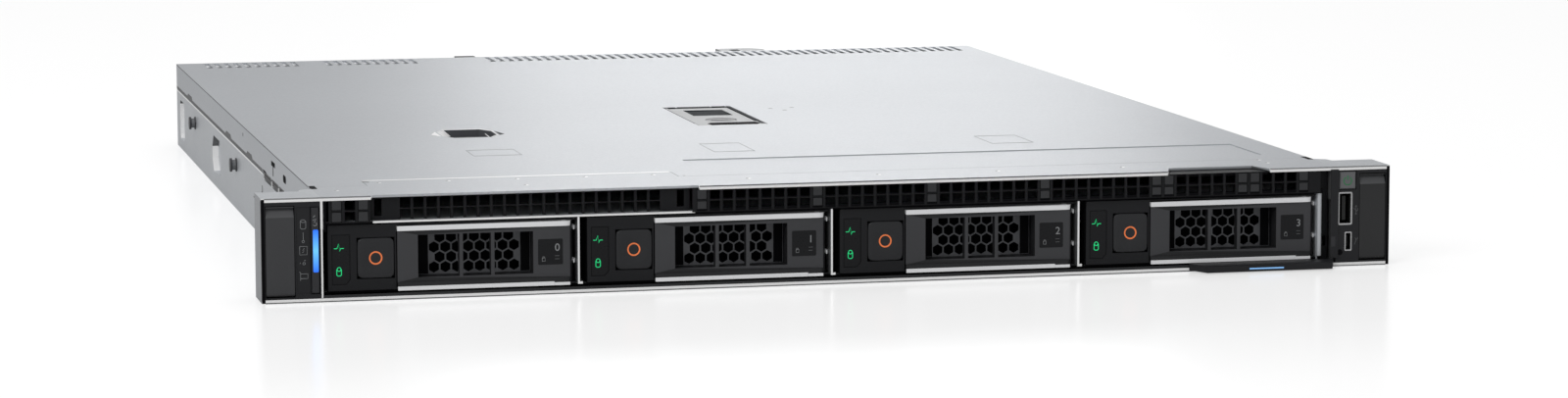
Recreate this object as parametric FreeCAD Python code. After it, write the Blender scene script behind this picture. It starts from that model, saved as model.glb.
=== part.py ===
"""A one-unit rack server with four carried drives, built piece by piece (millimetres).

X runs across the rack, the front faces -Y and +Z is up. The origin is the middle of the
footprint, on the underside. A depth is counted backwards from the front face of the rack ears.
"""
import math
import os

import FreeCAD
import Part
from FreeCAD import Vector

# ---- overall sizes ----
body_width = 434.0          # over the side walls
ear_width = 24.0            # each rack ear, beside the body
body_height = 42.8
body_depth = 585.3          # ear face to rear panel
ear_depth = 22.0            # ear face to the face that meets the rack post
rack_hole_pitch = 465.1     # between the two rack screw holes
tag_reach = 10.0            # information tag, in front of the ear face
rear_reach = 32.3           # card latch, behind the rear panel

# ---- sheet metal ----
sheet = 1.0                 # tray, cover and panels
cage_sheet = 0.8            # drive cage
ear_sheet = 0.8
loose = 0.3                 # gap between pieces that come apart
slide_gap = 0.2             # under a piece that slides
pin_gap = 0.05              # radial clearance of a running pin

# ---- cover and its seam ----
seam_height = 30.0          # lower edge of the cover's side flanges
cover_front = 34.0          # depth of the joint between front panel and cover
tongue_depth = 50.0         # the front panel reaches this far back over the optical bay
tongue_left = -193.0
tongue_right = -62.0
strip_left, strip_right = -48.0, 201.0
strip_front, strip_rear = 50.0, 93.0
strip_sink = 0.4
cover_travel = 13.0
vent_front, vent_rear = body_depth - 27.3, body_depth - 2.8
vent_pitch, vent_slot = 5.05, 2.6
vent_runs = ((-203.0, -155.0), (-140.0, -91.0), (-53.0, 208.0))

# ---- drive bays ----
bay_pitch = 106.8
bay_count = 4
first_carrier_left = -213.9
carrier_width = 101.9
carrier_bottom, carrier_top = 4.0, 30.9
carrier_front, carrier_back = 2.0, 20.0
cage_floor_top = 3.8
cage_roof_bottom = 31.5
drive_width, drive_height, drive_length = 101.6, 26.1, 147.0
drive_front = 24.0
cage_depth = drive_front + drive_length + 11.5
rail_wall = 1.0

# ---- carrier front ----
block_width = 27.6          # light window and release button
handle_left = 28.3
handle_face = 1.0
handle_thick = 7.0
handle_bar = 2.0            # height of the two bright bars
handle_pad = 8.5
window_width = 47.5
rib_offsets = (17.0, 30.0)
rib_width = 1.5
knuckle_radius = 3.5
handle_pin_radius = 1.2
pin_sides = 12               # facets of the small pins and their bores
mesh_pitch, mesh_web = 4.75, 0.7
mesh_depth, mesh_thick = 12.5, 1.2
mesh_columns, mesh_rows = 8, 4
mesh_shift = 1.0             # the holes sit nearer the hinge than the middle of the window
button_left, button_width = 12.0, 15.0
button_low, button_high = 8.9, 25.3
button_travel = 1.5

# ---- front vents ----
vent_bottom, vent_top = 32.4, 41.6
cell_pitch, cell_hole = 5.45, 4.3
row_heights = (34.4, 39.2)
vent_plate = 1.6
blank_left, blank_right = -196.0, -63.6
grille_left, grille_right = -62.0, 211.2
side_vent_left, side_vent_right = -214.2, -197.0

# ---- cover latch ----
housing_left, housing_right = -12.5, 20.5
housing_front, housing_length = 224.0, 82.0
housing_rear = housing_front + housing_length

# ---- inside ----
backplane_front, backplane_thick = cage_depth + 0.5, 2.0
fan_size, fan_length = 40.0, 28.0
fan_front = housing_rear + cover_travel + 3.0
fan_pitch, fan_count = 64.0, 4
first_fan = -62.0
fan_centres = [first_fan + fan_pitch * i for i in range(fan_count)]
board_left, board_right = -48.0, 212.0
board_front, board_rear = fan_front + fan_length + 2.0, body_depth - 4.3
board_bottom, board_thick = 7.0, 1.6
memory_front, memory_rear = board_front + 26.0, board_rear - 61.0
psu_width, psu_height, psu_length = 54.5, 39.6, 185.0
psu_pitch = psu_width + 9.0
psu_centres = (-179.0, -179.0 + psu_pitch)

front_y = tag_reach - (tag_reach + body_depth + rear_reach) / 2
half_body = body_width / 2
top_under = body_height - sheet
upper_wall_out = half_body - sheet - loose
upper_wall_in = upper_wall_out - sheet
carrier_lefts = [first_carrier_left + bay_pitch * i for i in range(bay_count)]
board_top = board_bottom + board_thick


# ---- helpers: sizes in x, depth, height ----
def at(x, depth, z):
    return Vector(x, front_y + depth, z)


def block(x0, x1, d0, d1, z0, z1):
    return Part.makeBox(x1 - x0, d1 - d0, z1 - z0, at(x0, d0, z0))


def rod_x(x0, x1, depth, z, radius):
    return Part.makeCylinder(radius, x1 - x0, at(x0, depth, z), Vector(1, 0, 0))


def rod_y(x, d0, d1, z, radius):
    return Part.makeCylinder(radius, d1 - d0, at(x, d0, z), Vector(0, 1, 0))


def rod_z(x, depth, z0, z1, radius):
    return Part.makeCylinder(radius, z1 - z0, at(x, depth, z0), Vector(0, 0, 1))


def many_sided_z(x, depth, z0, z1, radius, sides):
    """An upright prism whose corners lie on the radius."""
    turn = 2 * math.pi / sides
    return plan([(x + radius * math.cos(turn * k), depth + radius * math.sin(turn * k)) for k in range(sides)], z0, z1)


def many_sided_x(x0, x1, depth, z, radius, sides):
    """The same across the rack."""
    turn = 2 * math.pi / sides
    return profile([(depth + radius * math.cos(turn * k), z + radius * math.sin(turn * k)) for k in range(sides)], x0, x1)


def bore_radius(radius):
    """Corner radius of a many-sided bore that clears a many-sided pin at any angle."""
    return (radius + pin_gap) / math.cos(math.pi / pin_sides)


def many_sided_y(x, d0, d1, z, radius, sides):
    """The same along the depth."""
    turn = 2 * math.pi / sides
    return section([(x + radius * math.cos(turn * k), z + radius * math.sin(turn * k)) for k in range(sides)], d0, d1)


def plan(points, z0, z1):
    """A plan outline of (x, depth) points, pulled up from z0 to z1."""
    corners = [at(x, d, z0) for x, d in points]
    return Part.Face(Part.makePolygon(corners + corners[:1])).extrude(Vector(0, 0, z1 - z0))


def section(points, d0, d1):
    """An outline of (x, z) points seen from the front, pulled back from d0 to d1."""
    corners = [at(x, d0, z) for x, z in points]
    return Part.Face(Part.makePolygon(corners + corners[:1])).extrude(Vector(0, d1 - d0, 0))


def profile(points, x0, x1):
    """An outline of (depth, z) points seen from the side, pulled across from x0 to x1."""
    corners = [at(x0, d, z) for d, z in points]
    return Part.Face(Part.makePolygon(corners + corners[:1])).extrude(Vector(x1 - x0, 0, 0))


def join(shapes):
    shapes = list(shapes)
    return shapes[0].fuse(shapes[1:]).removeSplitter() if len(shapes) > 1 else shapes[0]


def cut(shape, tools):
    return shape.cut(Part.makeCompound(list(tools)))


def mirror(shape):
    return shape.mirror(Vector(0, 0, 0), Vector(1, 0, 0))


def broken_front(cap, depth, size):
    """Chamfer the edges that lie in the front face of a cap."""
    face = at(0, depth, 0).y
    edges = [e for e in cap.Edges if max(abs(e.BoundBox.YMin - face), abs(e.BoundBox.YMax - face)) < 0.01]
    return cap.makeChamfer(size, edges)


def save(name, *shapes):
    solids = [solid for shape in shapes for solid in shape.Solids]
    body = solids[0] if len(solids) == 1 else Part.makeCompound(solids)
    os.makedirs("parts", exist_ok=True)
    body.exportStep("parts/" + name + ".step")


# ---- tray, panels and ears ----
oval_pocket = (372.0, 411.0, 6.8, 24.4)
square_pocket = (body_depth - 38.3, body_depth - 16.3, 5.4, 25.5)
pocket_sink = 3.0            # how far the pockets are pressed into the side walls
pocket_corner, square_corner = 6.0, 2.0
seam_slots = ((120.0, 140.0), (142.0, 165.0), (167.0, 195.0))
seam_slot_low = 27.2
standoff_columns = (board_left + 8.0, (board_left + board_right) / 2, board_right - 8.0)
standoff_rows = (board_front + 8.0, board_front + 118.0, board_rear - 8.0)
standoff_spots = [(x, d) for x in standoff_columns for d in standoff_rows]
standoff_radius = 3.2


def cut_corners(d0, d1, z0, z1, corner):
    """Corners of a (depth, z) rectangle with its four corners cut off."""
    return [
        (d0 + corner, z0), (d1 - corner, z0), (d1, z0 + corner), (d1, z1 - corner),
        (d1 - corner, z1), (d0 + corner, z1), (d0, z1 - corner), (d0, z0 + corner),
    ]


def pressed_pocket(d0, d1, z0, z1, corner):
    """Cup on the inside of the right wall, and the hollow that is then cut from it."""
    t, floor = sheet, half_body - pocket_sink
    outer = cut_corners(d0 - t, d1 + t, z0 - t, z1 + t, corner)
    cup = profile(outer, floor - t, half_body - t / 2)
    hollow = profile(cut_corners(d0, d1, z0, z1, corner), floor, half_body + 1)
    return cup, hollow


def base_tray():
    """Floor and jogged side walls, bent from one sheet, with pressed side pockets."""
    w, ui, uo, t = half_body, upper_wall_in, upper_wall_out, sheet
    shelf = seam_height - loose
    rim = top_under - loose
    right = [(w, 0), (w, shelf), (uo, shelf), (uo, rim), (ui, rim), (ui, shelf - t), (w - t, shelf - t), (w - t, t)]
    left = [(-x, z) for x, z in reversed(right)]
    tray = section(right + left, 0, body_depth)
    cups, hollows = [], []
    for outline in (oval_pocket + (pocket_corner,), square_pocket + (square_corner,)):
        cup, hollow = pressed_pocket(*outline)
        cups += [cup, mirror(cup)]
        hollows += [hollow, mirror(hollow)]
    for d0, d1 in seam_slots:
        slot = block(w - t - 0.1, w + 1, d0, d1, seam_slot_low, shelf + 0.1)
        hollows += [slot, mirror(slot)]
    return cut(join([tray] + cups), hollows)


def board_standoffs():
    """Hexagonal posts, riveted to the tray floor, that carry the main board."""
    return [many_sided_z(x, d, sheet, board_bottom, standoff_radius, 6) for x, d in standoff_spots]


notch_left, notch_right, notch_depth = 142.0, 187.0, 12.0
corner_notch = 2.4           # width of the slot in the outer corners beside the cover


def front_top_panel():
    """Fixed panel over the bays, with side flanges and the tongue over the optical bay."""
    w = half_body
    outline = [
        (-w, 0), (blank_left, 0), (blank_left, 2.0), (blank_right + 3, 2.0), (blank_right + 3, 0),
        (notch_left, 0), (notch_left + 4, notch_depth), (notch_right - 4, notch_depth), (notch_right, 0),
        (w, 0), (w, cover_front), (tongue_right, cover_front), (tongue_right, tongue_depth),
        (tongue_left, tongue_depth), (tongue_left, cover_front), (-w, cover_front),
    ]
    top = plan(outline, top_under, body_height)
    flange = block(w - sheet, w, 0, cover_front, seam_height, top_under + 0.5)
    corner = block(w - corner_notch, w + 1, cover_front - 6.0, cover_front + 1, top_under - 0.6, body_height + 1)
    panel = join([top, flange, mirror(flange)])
    return cut(panel, [corner, mirror(corner)])


def ear_outline():
    out = half_body + ear_width
    return [
        (half_body, 0), (out, 0), (out, ear_depth), (half_body + 6, ear_depth),
        (half_body + 5, ear_depth + 5), (half_body, ear_depth + 7.6),
    ]


screw_height = 21.4
screw_hole_radius = 2.75
lip_depth = 1.5


def right_ear():
    """Rack ear: an open box of sheet, closed at the back by the plate that meets the rack."""
    out = half_body + ear_width
    shell = plan(ear_outline(), 0, body_height)
    hollow = block(half_body, out - ear_sheet, -1, ear_depth - 1.5, ear_sheet, body_height - ear_sheet)
    lip = block(half_body, out + 1, -1, lip_depth, ear_sheet, body_height - ear_sheet)
    hole = rod_y(rack_hole_pitch / 2, 0, ear_depth + 9, screw_height, screw_hole_radius)
    return cut(shell, [hollow, lip, hole])


# ---- control bezels, buttons and slam latches ----
bezel_depth = 16.0
latch_in, latch_out = 10.6, 22.2      # from the side of the body
latch_low, latch_high = 2.6, 39.4
latch_thick = 3.2
latch_gap = 0.2
latch_pin_radius, latch_pin_length = 0.9, 0.6
id_in, id_out, id_low, id_high = 0.5, 3.9, 3.6, 38.9
id_travel = 0.5
power_in, power_out, power_low, power_high = 1.4, 8.9, 33.0, 40.6
power_travel = 0.8
usb_in, usb_out, usb_low, usb_high = 1.2, 7.0, 18.0, 31.5
micro_in, micro_out, micro_low, micro_high = 4.2, 7.0, 6.7, 14.5
button_depth = 5.0


def latch_axis():
    radius = latch_thick / 2
    return radius, latch_low + radius


def bezel_body():
    """Right-hand bezel before its sockets: fills the ear and laps its front edge."""
    w = half_body
    low, high = ear_sheet, body_height - ear_sheet
    core = block(w, w + ear_width - ear_sheet, 0, bezel_depth, low, high)
    lip = block(w, w + ear_width, 0, lip_depth, low, high)
    pocket = block(
        w + latch_in - latch_gap, w + latch_out + latch_gap, -1, latch_thick + loose, latch_low - loose, latch_high + loose)
    axis_depth, axis_z = latch_axis()
    pin_reach = latch_pin_length + 0.1
    hole = bore_radius(latch_pin_radius)
    bore = many_sided_x(w + latch_in - pin_reach, w + latch_out + pin_reach, axis_depth, axis_z, hole, pin_sides)
    screw_x, reach = rack_hole_pitch / 2, 4.5
    access = block(screw_x - reach, screw_x + reach, 0, bezel_depth + 1, screw_height - reach, screw_height + reach)
    return cut(join([core, lip]), [pocket, bore, access])


def left_control_bezel():
    w = half_body
    well = block(w + id_in - 0.2, w + id_out + 0.2, -1, button_depth + id_travel + 0.3, id_low - 0.2, id_high + 0.2)
    strip = block(w + 4.4, w + 9.8, -1, 0.25, 3.6, 39.0)
    return mirror(cut(bezel_body(), [well, strip]))


def right_control_bezel():
    w = half_body
    travel = button_depth + power_travel + 0.3
    well = block(w + power_in - 0.2, w + power_out + 0.2, -1, travel, power_low - 0.2, power_high + 0.2)
    usb = block(w + usb_in, w + usb_out, -1, 14.0, usb_low, usb_high)
    micro = block(w + micro_in, w + micro_out, -1, 8.0, micro_low, micro_high)
    lap = block(w - 2.6, w + 0.9, -0.6, -0.05, 3.7, 41.6)
    root = block(w, w + 0.9, -0.1, 1.0, 3.7, 41.6)
    return cut(join([bezel_body(), lap, root]), [well, usb, micro])


def socket_shell(x0, x1, z0, z1, length, wall, tongue):
    """A metal socket shell, open at the front, with its contact tongue along the height."""
    shell = block(x0, x1, 0.2, length, z0, z1)
    inside = block(x0 + wall, x1 - wall, 0, length - 1, z0 + wall, z1 - wall)
    middle = (x0 + x1) / 2
    bar = block(middle - tongue / 2, middle + tongue / 2, 2.0, length - 1, z0 + 1.6, z1 - 1.6)
    return join([shell.cut(inside), bar])


def front_usb_ports():
    w = half_body
    yield socket_shell(w + usb_in, w + usb_out, usb_low, usb_high, 14.0, 0.4, 1.6)
    yield socket_shell(w + micro_in, w + micro_out, micro_low, micro_high, 8.0, 0.3, 0.6)


def id_button():
    w = half_body
    return mirror(broken_front(block(w + id_in, w + id_out, 0, button_depth, id_low, id_high), 0, 0.4))


def power_button():
    w = half_body
    return broken_front(block(w + power_in, w + power_out, 0, button_depth, power_low, power_high), 0, 0.5)


def right_slam_latch():
    """Thumb plate on two stub pins at its foot, with a grip notch under the upper edge."""
    w = half_body
    axis_depth, axis_z = latch_axis()
    plate = block(w + latch_in, w + latch_out, 0, latch_thick, axis_z, latch_high)
    foot = many_sided_x(w + latch_in, w + latch_out, axis_depth, axis_z, axis_depth, 2 * pin_sides)
    x0, x1 = w + latch_in - latch_pin_length, w + latch_out + latch_pin_length
    pins = many_sided_x(x0, x1, axis_depth, axis_z, latch_pin_radius, pin_sides)
    grip = [(-1, 35.0), (0.0, 35.0), (1.9, 36.4), (1.9, 38.4), (-1, 38.4)]
    notch = profile(grip, w + latch_in + 1, w + latch_out - 1)
    return join([plate, foot, pins]).cut(notch)


# ---- information tag ----
tag_left, tag_right = 151.5, 216.0
tag_floor, tag_top = 0.5, 3.4
blade_left, blade_right = 157.0, 206.0
blade_length = 90.0
blade_thick = 1.4
tag_travel = 50.0


def information_tag():
    """Pull-out blade under the bays with a thicker grip that has slanted ends."""
    back = -slide_gap
    outline = [(tag_left, back), (tag_left + 5, -tag_reach), (tag_right - 4, -tag_reach), (tag_right, back)]
    grip = plan(outline, tag_floor, tag_top)
    grip = grip.cut(profile([(-tag_reach - 1, 2.6), (-tag_reach - 1, 4), (-tag_reach + 3, 4)], tag_left - 1, tag_right + 1))
    low = sheet + slide_gap
    blade = block(blade_left, blade_right, back, blade_length, low, low + blade_thick)
    return join([grip, blade])


# ---- drive cage ----
post_width = 2.2


def cage_right():
    return carrier_lefts[-1] + carrier_width + 0.6


def drive_cage():
    """Cage of the four bays: floor on folded legs, roof, and right wall with its front post."""
    x0, x1 = -half_body + sheet, cage_right()
    t = cage_sheet
    floor = block(x0, x1 + t, 3.0, cage_depth, cage_floor_top - t, cage_floor_top)
    leg = block(x0, x0 + t, 3.0, cage_depth, sheet, cage_floor_top)
    wall = block(x1, x1 + t, 3.0, cage_depth, sheet, cage_roof_bottom + t)
    roof = block(-upper_wall_in, x1 + t, 1.0, cage_depth, cage_roof_bottom, cage_roof_bottom + t)
    post = rod_z(x1 + post_width / 2, 2.1, 4.6, cage_roof_bottom, post_width / 2)
    return join([floor, leg, wall, roof, post])


def bay_dividers():
    for left in carrier_lefts[1:]:
        x0 = left - bay_pitch + carrier_width + 0.7
        sheet_wall = block(x0, x0 + cage_sheet, 0.5, cage_depth, cage_floor_top, cage_roof_bottom)
        foot = block(x0 + cage_sheet, x0 + cage_sheet + 1.2, 0.5, 3.0, cage_floor_top, cage_floor_top + 1.0)
        yield join([sheet_wall, foot])


# ---- front vents ----
def grille(x0, x1, first, columns, filled, plate_left=None):
    """A plate with two rows of square cells; filled lists the (column, row) left solid."""
    plate = block(x0, x1, 4.0, 4.0 + vent_plate, vent_bottom, vent_top)
    half = cell_hole / 2
    holes = []
    for column in range(columns):
        x = first + cell_pitch * column
        for row, z in enumerate(row_heights):
            if (column, row) not in filled and x + half < x1 - 0.5:
                holes.append(block(x - half, x + half, 3, 6.5, z - half, z + half))
    return cut(plate, holes)


def front_grille():
    """Long grille over bays two to four, with a sill over the cage roof and a leg beside the post."""
    filled = {(0, 0), (9, 0), (18, 0), (27, 0), (36, 0), (37, 0), (43, 0), (44, 0), (48, 0), (9, 1), (27, 1), (44, 1)}
    plate = grille(grille_left, grille_right, grille_left + 4.0, 49, filled)
    lip_points = [(notch_left + 0.5, 0.6), (notch_left + 4.5, notch_depth - 0.4), (notch_right - 4.5, notch_depth - 0.4), (notch_right - 0.5, 0.6)]
    lip = plan(lip_points, vent_top - 1.2, vent_top)
    leg = block(cage_right() + post_width + 0.4, upper_wall_in - 0.2, 4.0, 4.0 + vent_plate, sheet, vent_bottom + 2)
    leg = cut(leg, [block(212.2, 213.8, 3, 7, 8.5, 13.0)])
    top = block(grille_right - 1, upper_wall_in - 0.2, 4.0, 4.0 + vent_plate, vent_bottom, vent_top)
    low, high = cage_roof_bottom + 0.05, vent_bottom + 0.8
    sill_points = [(0.2, low), (0.8, low), (0.8, vent_bottom), (4.5, vent_bottom), (4.5, high), (0.2, high)]
    sill = profile(sill_points, grille_left, grille_right)
    return join([plate, lip, leg, top, sill])


def side_vent():
    return grille(side_vent_left, side_vent_right, side_vent_left + 3.6, 3, {(0, 0), (2, 1)})


def drive_blank():
    """Cover of the empty optical bay: a grille between two flats, with a finger slot each end."""
    plate = grille(blank_left, blank_right, blank_left + 14.2, 20, set())
    slots = [block(blank_left + 1.5, blank_left + 4.5, 3, 7, 34.0, 41.0), block(-69.0, -66.0, 3, 7, 34.0, 41.0)]
    plate = cut(plate, slots)
    rails = [block(x, x + 1.5, 4.0 + vent_plate, 60.0, 33.0, 41.0) for x in (blank_left, blank_right - 1.5)]
    return join([plate] + rails)


# ---- one drive carrier ----
def handle_axis(left):
    return left + carrier_width - 4.5, handle_face + knuckle_radius


def carrier(left):
    """Front frame, hexagonal mesh behind the handle, and the two side rails."""
    right = left + carrier_width
    body = block(left, right, carrier_front, carrier_back, carrier_bottom, carrier_top)
    lip = 0.6
    pocket_back = handle_face + handle_thick + 0.4
    handle_pocket = block(left + block_width + 0.3, right + 1, 0, pocket_back, carrier_bottom + lip, carrier_top - lip)
    tunnel_left = left + handle_left + handle_pad - 0.6
    tunnel = (tunnel_left, tunnel_left + window_width + 1.2, 8.2, 26.4)
    button_pocket = block(
        left + button_left - 0.25, left + button_left + button_width + 0.25, 0, 9.0, button_low - 0.25, button_high + 0.25)
    lamp = section([(left + 1.6, 6.5), (left + 7.4, 6.5), (left + 9.1, 8.4), (left + 9.1, 27.0), (left + 1.6, 27.0)], 0, carrier_front + 0.4)
    axis_x, axis_depth = handle_axis(left)
    hole = bore_radius(handle_pin_radius)
    bore = many_sided_z(axis_x, axis_depth, carrier_bottom - 1, carrier_top + 1, hole, pin_sides)
    frame = cut(body, [handle_pocket, block(*tunnel[:2], 0, carrier_back + 1, *tunnel[2:]), button_pocket, lamp, bore])
    mesh = hex_mesh(*tunnel)
    rails = []
    middle = left + carrier_width / 2 - 0.65
    for x in (middle - drive_width / 2 - rail_wall, middle + drive_width / 2):
        rails.append(block(x, x + rail_wall, 17.0, drive_front + drive_length + 3, carrier_bottom, 28.4))
    link = [block(middle - drive_width / 2 - rail_wall, left + 1, 17.0, carrier_back, carrier_bottom, 28.4)]
    return join([frame, mesh] + rails + link)


def hex_mesh(x0, x1, z0, z1):
    """A thin plate with staggered hexagonal holes in the middle of the tunnel."""
    plate = block(x0 - 0.5, x1 + 0.5, mesh_depth, mesh_depth + mesh_thick, z0 - 0.5, z1 + 0.5)
    radius = (mesh_pitch - mesh_web) / math.sqrt(3)
    row_step = mesh_pitch * math.sqrt(3) / 2
    holes = []
    for row in range(mesh_rows):
        count = mesh_columns - row % 2
        cz = (z0 + z1) / 2 + (row - (mesh_rows - 1) / 2) * row_step
        for column in range(count):
            cx = (x0 + x1) / 2 + mesh_shift + (column - (count - 1) / 2) * mesh_pitch
            corners = [math.radians(60 * k) for k in range(6)]
            ring = [(cx + radius * math.sin(a), cz + radius * math.cos(a)) for a in corners]
            holes.append(section(ring, mesh_depth - 1, mesh_depth + mesh_thick + 1))
    return cut(plate, holes)


def carrier_handle(left):
    """Swinging pull: two bars, a grip pad, ribs over the mesh and a round hinge end."""
    axis_x, axis_depth = handle_axis(left)
    low, high = carrier_bottom + 0.8, carrier_top - 1.0
    x0 = left + handle_left
    face, back = handle_face, handle_face + handle_thick
    body = block(x0, axis_x, face, back, low, high)
    knuckle = many_sided_z(axis_x, axis_depth, low, high, knuckle_radius, 2 * pin_sides)
    pin = many_sided_z(axis_x, axis_depth, carrier_bottom + 0.1, carrier_top - 0.1, handle_pin_radius, pin_sides)
    window_x = x0 + handle_pad
    window = block(window_x, window_x + window_width, 0, back + 1, 8.6, 26.0)
    recess = block(x0 - 1, axis_x + 9, 0, face + 0.8, low + handle_bar, high - handle_bar)
    ribs = [block(window_x + r, window_x + r + rib_width, face + 0.8, back - 2.5, 8, 26.5) for r in rib_offsets]
    pull = cut(join([body, knuckle]), [window, recess])
    return join([pull, pin] + ribs)


def release_button(left):
    """Push button with its front edges broken."""
    x0 = left + button_left
    face = carrier_front - 0.3
    return broken_front(block(x0, x0 + button_width, face, 7.0, button_low, button_high), face, 0.4)


def drive(left):
    """Disk drive: cast body with a stepped lid, and the connector block at its back."""
    middle = left + carrier_width / 2 - 0.65
    x0, x1 = middle - drive_width / 2, middle + drive_width / 2
    low = carrier_bottom + 0.4
    high = low + drive_height
    d0, d1 = drive_front, drive_front + drive_length
    body = block(x0, x1, d0, d1, low, high - 1.5)
    lid = block(x0 + 3, x1 - 3, d0 + 4, d1 - 16, high - 1.5, high)
    board = block(x0 + 6, x1 - 6, d0 + 20, d1 - 8, low - 1, low + 1.2)
    plug = block(middle - 21, middle + 21, d1, backplane_front - 1.5, low + 0.6, low + 5.6)
    return join([body.cut(board), lid, plug])


# ---- cover and its latch ----
housing_floor = 38.0
housing_wall = 1.9
lever_gap = 0.4
lever_front = housing_front + 13.5
lever_thick = 2.4
lever_top = body_height - 0.4
hinge_radius, hinge_pin_radius = 1.9, 0.9
hinge_depth, hinge_height = housing_rear - 4.6, 40.2
lock_x, lock_depth, lock_radius = (housing_left + housing_right) / 2, lever_front + 12.5, 7.5
lock_sides = 30
thumb_outline = ((-135, 208), (-131, 200), (-112, 200), (-108, 208), (-108, 227), (-112, 235), (-131, 235), (-135, 227))
thumb_sink = 3.0


def top_cover():
    """Sliding cover: flanged sheet with pressed strip, thumb recess and rear vents."""
    w = half_body
    front = cover_front + loose
    outline = [
        (-w, front), (tongue_left - loose, front), (tongue_left - loose, tongue_depth + loose),
        (tongue_right + loose, tongue_depth + loose), (tongue_right + loose, front), (w, front),
        (w, body_depth), (-w, body_depth),
    ]
    top = plan(outline, top_under, body_height)
    flange = block(w - sheet, w, front, body_depth, seam_height, top_under + 0.5)
    thumb_bottom = body_height - thumb_sink
    pad = plan(thumb_outline, thumb_bottom - 0.8, top_under)
    rim = plan(inset(thumb_outline, 0.8), thumb_bottom, body_height + 1)
    cover = join([top, flange, mirror(flange), pad])
    strip = block(strip_left, strip_right, strip_front, strip_rear, body_height - strip_sink, body_height + 1)
    opening = block(housing_left, housing_right, housing_front, housing_rear, top_under - 1, body_height + 1)
    slots = []
    for x0, x1 in vent_runs:
        for i in range(int((x1 - x0) / vent_pitch) + 1):
            x = x0 + i * vent_pitch
            slots.append(block(x, x + vent_slot, vent_front, vent_rear, top_under - 1, body_height + 1))
    return cut(cover, [rim, strip, opening] + slots)


def inset(points, amount):
    """Move each point of an outline towards its middle by amount along both axes."""
    cx = sum(x for x, _ in points) / len(points)
    cd = sum(d for _, d in points) / len(points)
    return [(x - math.copysign(amount, x - cx), d - math.copysign(amount, d - cd)) for x, d in points]


def latch_housing():
    """Moulded well that holds the latch, flanged under the cover."""
    x0, x1, d0, d1 = housing_left, housing_right, housing_front, housing_rear
    wall = housing_wall
    outer = block(x0, x1, d0, d1, housing_floor - 1.2, body_height - 0.2)
    flange = block(x0 - 2, x1 + 2, d0 - 2, d1 + 2, top_under - 1.0, top_under)
    well = block(x0 + wall, x1 - wall, d0 + wall, d1 - wall, housing_floor, body_height + 1)
    bore = many_sided_x(x0 + 0.6, x1 - 0.6, hinge_depth, hinge_height, bore_radius(hinge_pin_radius), pin_sides)
    return cut(join([outer, flange]), [well, bore])


def cover_latch():
    """Lever that lifts at its front edge and turns at the back of the housing."""
    x0, x1 = housing_left + housing_wall + lever_gap, housing_right - housing_wall - lever_gap
    plate = block(x0, x1, lever_front, hinge_depth, lever_top - lever_thick, lever_top)
    r = hinge_radius
    rounded = [(-4.5, 0.4), (-1.2, -r + 0.2), (0.8, -r + 0.2), (r, -0.8), (r, 0.8), (0.8, lever_top - hinge_height), (-4.5, lever_top - hinge_height)]
    end = profile([(hinge_depth + d, hinge_height + z) for d, z in rounded], x0, x1)
    pin = many_sided_x(x0 - 1.1, x1 + 1.1, hinge_depth, hinge_height, hinge_pin_radius, pin_sides)
    lock_hole = (lock_radius + pin_gap) / math.cos(math.pi / lock_sides)
    hole = many_sided_z(lock_x, lock_depth, 30, 50, lock_hole, lock_sides)
    window = block(lock_x - 9.0, lock_x + 10.0, hinge_depth - 32.4, hinge_depth - 7.4, lever_top - 0.5, 50)
    return cut(join([plate, end, pin]), [hole, window])


def latch_lock():
    """Quarter-turn lock in the lever, with a driver slot."""
    under = lever_top - lever_thick
    plug = many_sided_z(lock_x, lock_depth, under - 0.9, lever_top - 0.1, lock_radius, lock_sides)
    slot = block(lock_x - 5, lock_x + 5, lock_depth - 0.8, lock_depth + 0.8, lever_top - 1.1, 50)
    return plug.cut(slot)


# ---- inside: backplane, fans, board, power ----
def backplane():
    """Circuit board behind the cage, with one socket strip for each drive."""
    x0, x1 = -half_body + sheet + 0.6, cage_right() - 0.4
    d0 = backplane_front
    board = block(x0, x1, d0, d0 + backplane_thick, 5.0, 28.4)
    slots = [block(left + 16 + k * 36, left + 44 + k * 36, d0 - 1, d0 + 9, 15, 26) for left in carrier_lefts for k in range(2)]
    sockets = []
    for left in carrier_lefts:
        middle = left + carrier_width / 2 - 0.65
        sockets.append(block(middle - 22, middle + 22, d0 - 5.0, d0, 4.6, 11.0).cut(
            block(middle - 21.3, middle + 21.3, d0 - 6, d0 - 0.5, 4.8, 10.3)))
    return join([cut(board, slots)] + sockets)


fan_bore = 18.6
hub_radius = 9.0
blade_reach = 17.4
blade_count = 5
shaft_radius = 1.5


def fan_frames():
    """Square frames that stand on the tray, each with a spider and a shaft for its rotor."""
    low = sheet
    for x in fan_centres:
        z = low + fan_size / 2
        frame = block(x - fan_size / 2, x + fan_size / 2, fan_front, fan_front + fan_length, low, low + fan_size)
        frame = frame.cut(many_sided_y(x, fan_front - 1, fan_front + fan_length + 1, z, fan_bore, 16))
        d1 = fan_front + fan_length
        arms = [block(x - fan_bore - 0.5, x + fan_bore + 0.5, d1 - 2.5, d1, z - 2, z + 2)]
        shaft = many_sided_y(x, fan_front + 4, d1 - 2, z, shaft_radius, pin_sides)
        yield join([frame, shaft] + arms)


def fan_rotor(x):
    """Hub with twisted blades, bored for the shaft."""
    z = sheet + fan_size / 2
    d0, d1 = fan_front + 2.5, fan_front + fan_length - 4
    hub = many_sided_y(x, d0, d1, z, hub_radius, 16)
    blades = [fan_blade(x, z, d0 + 2, d1 - 1, 360.0 / blade_count * k) for k in range(blade_count)]
    bore = many_sided_y(x, d0 + 1, d1 + 1, z, bore_radius(shaft_radius), pin_sides)
    return join([hub] + blades).cut(bore)


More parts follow.
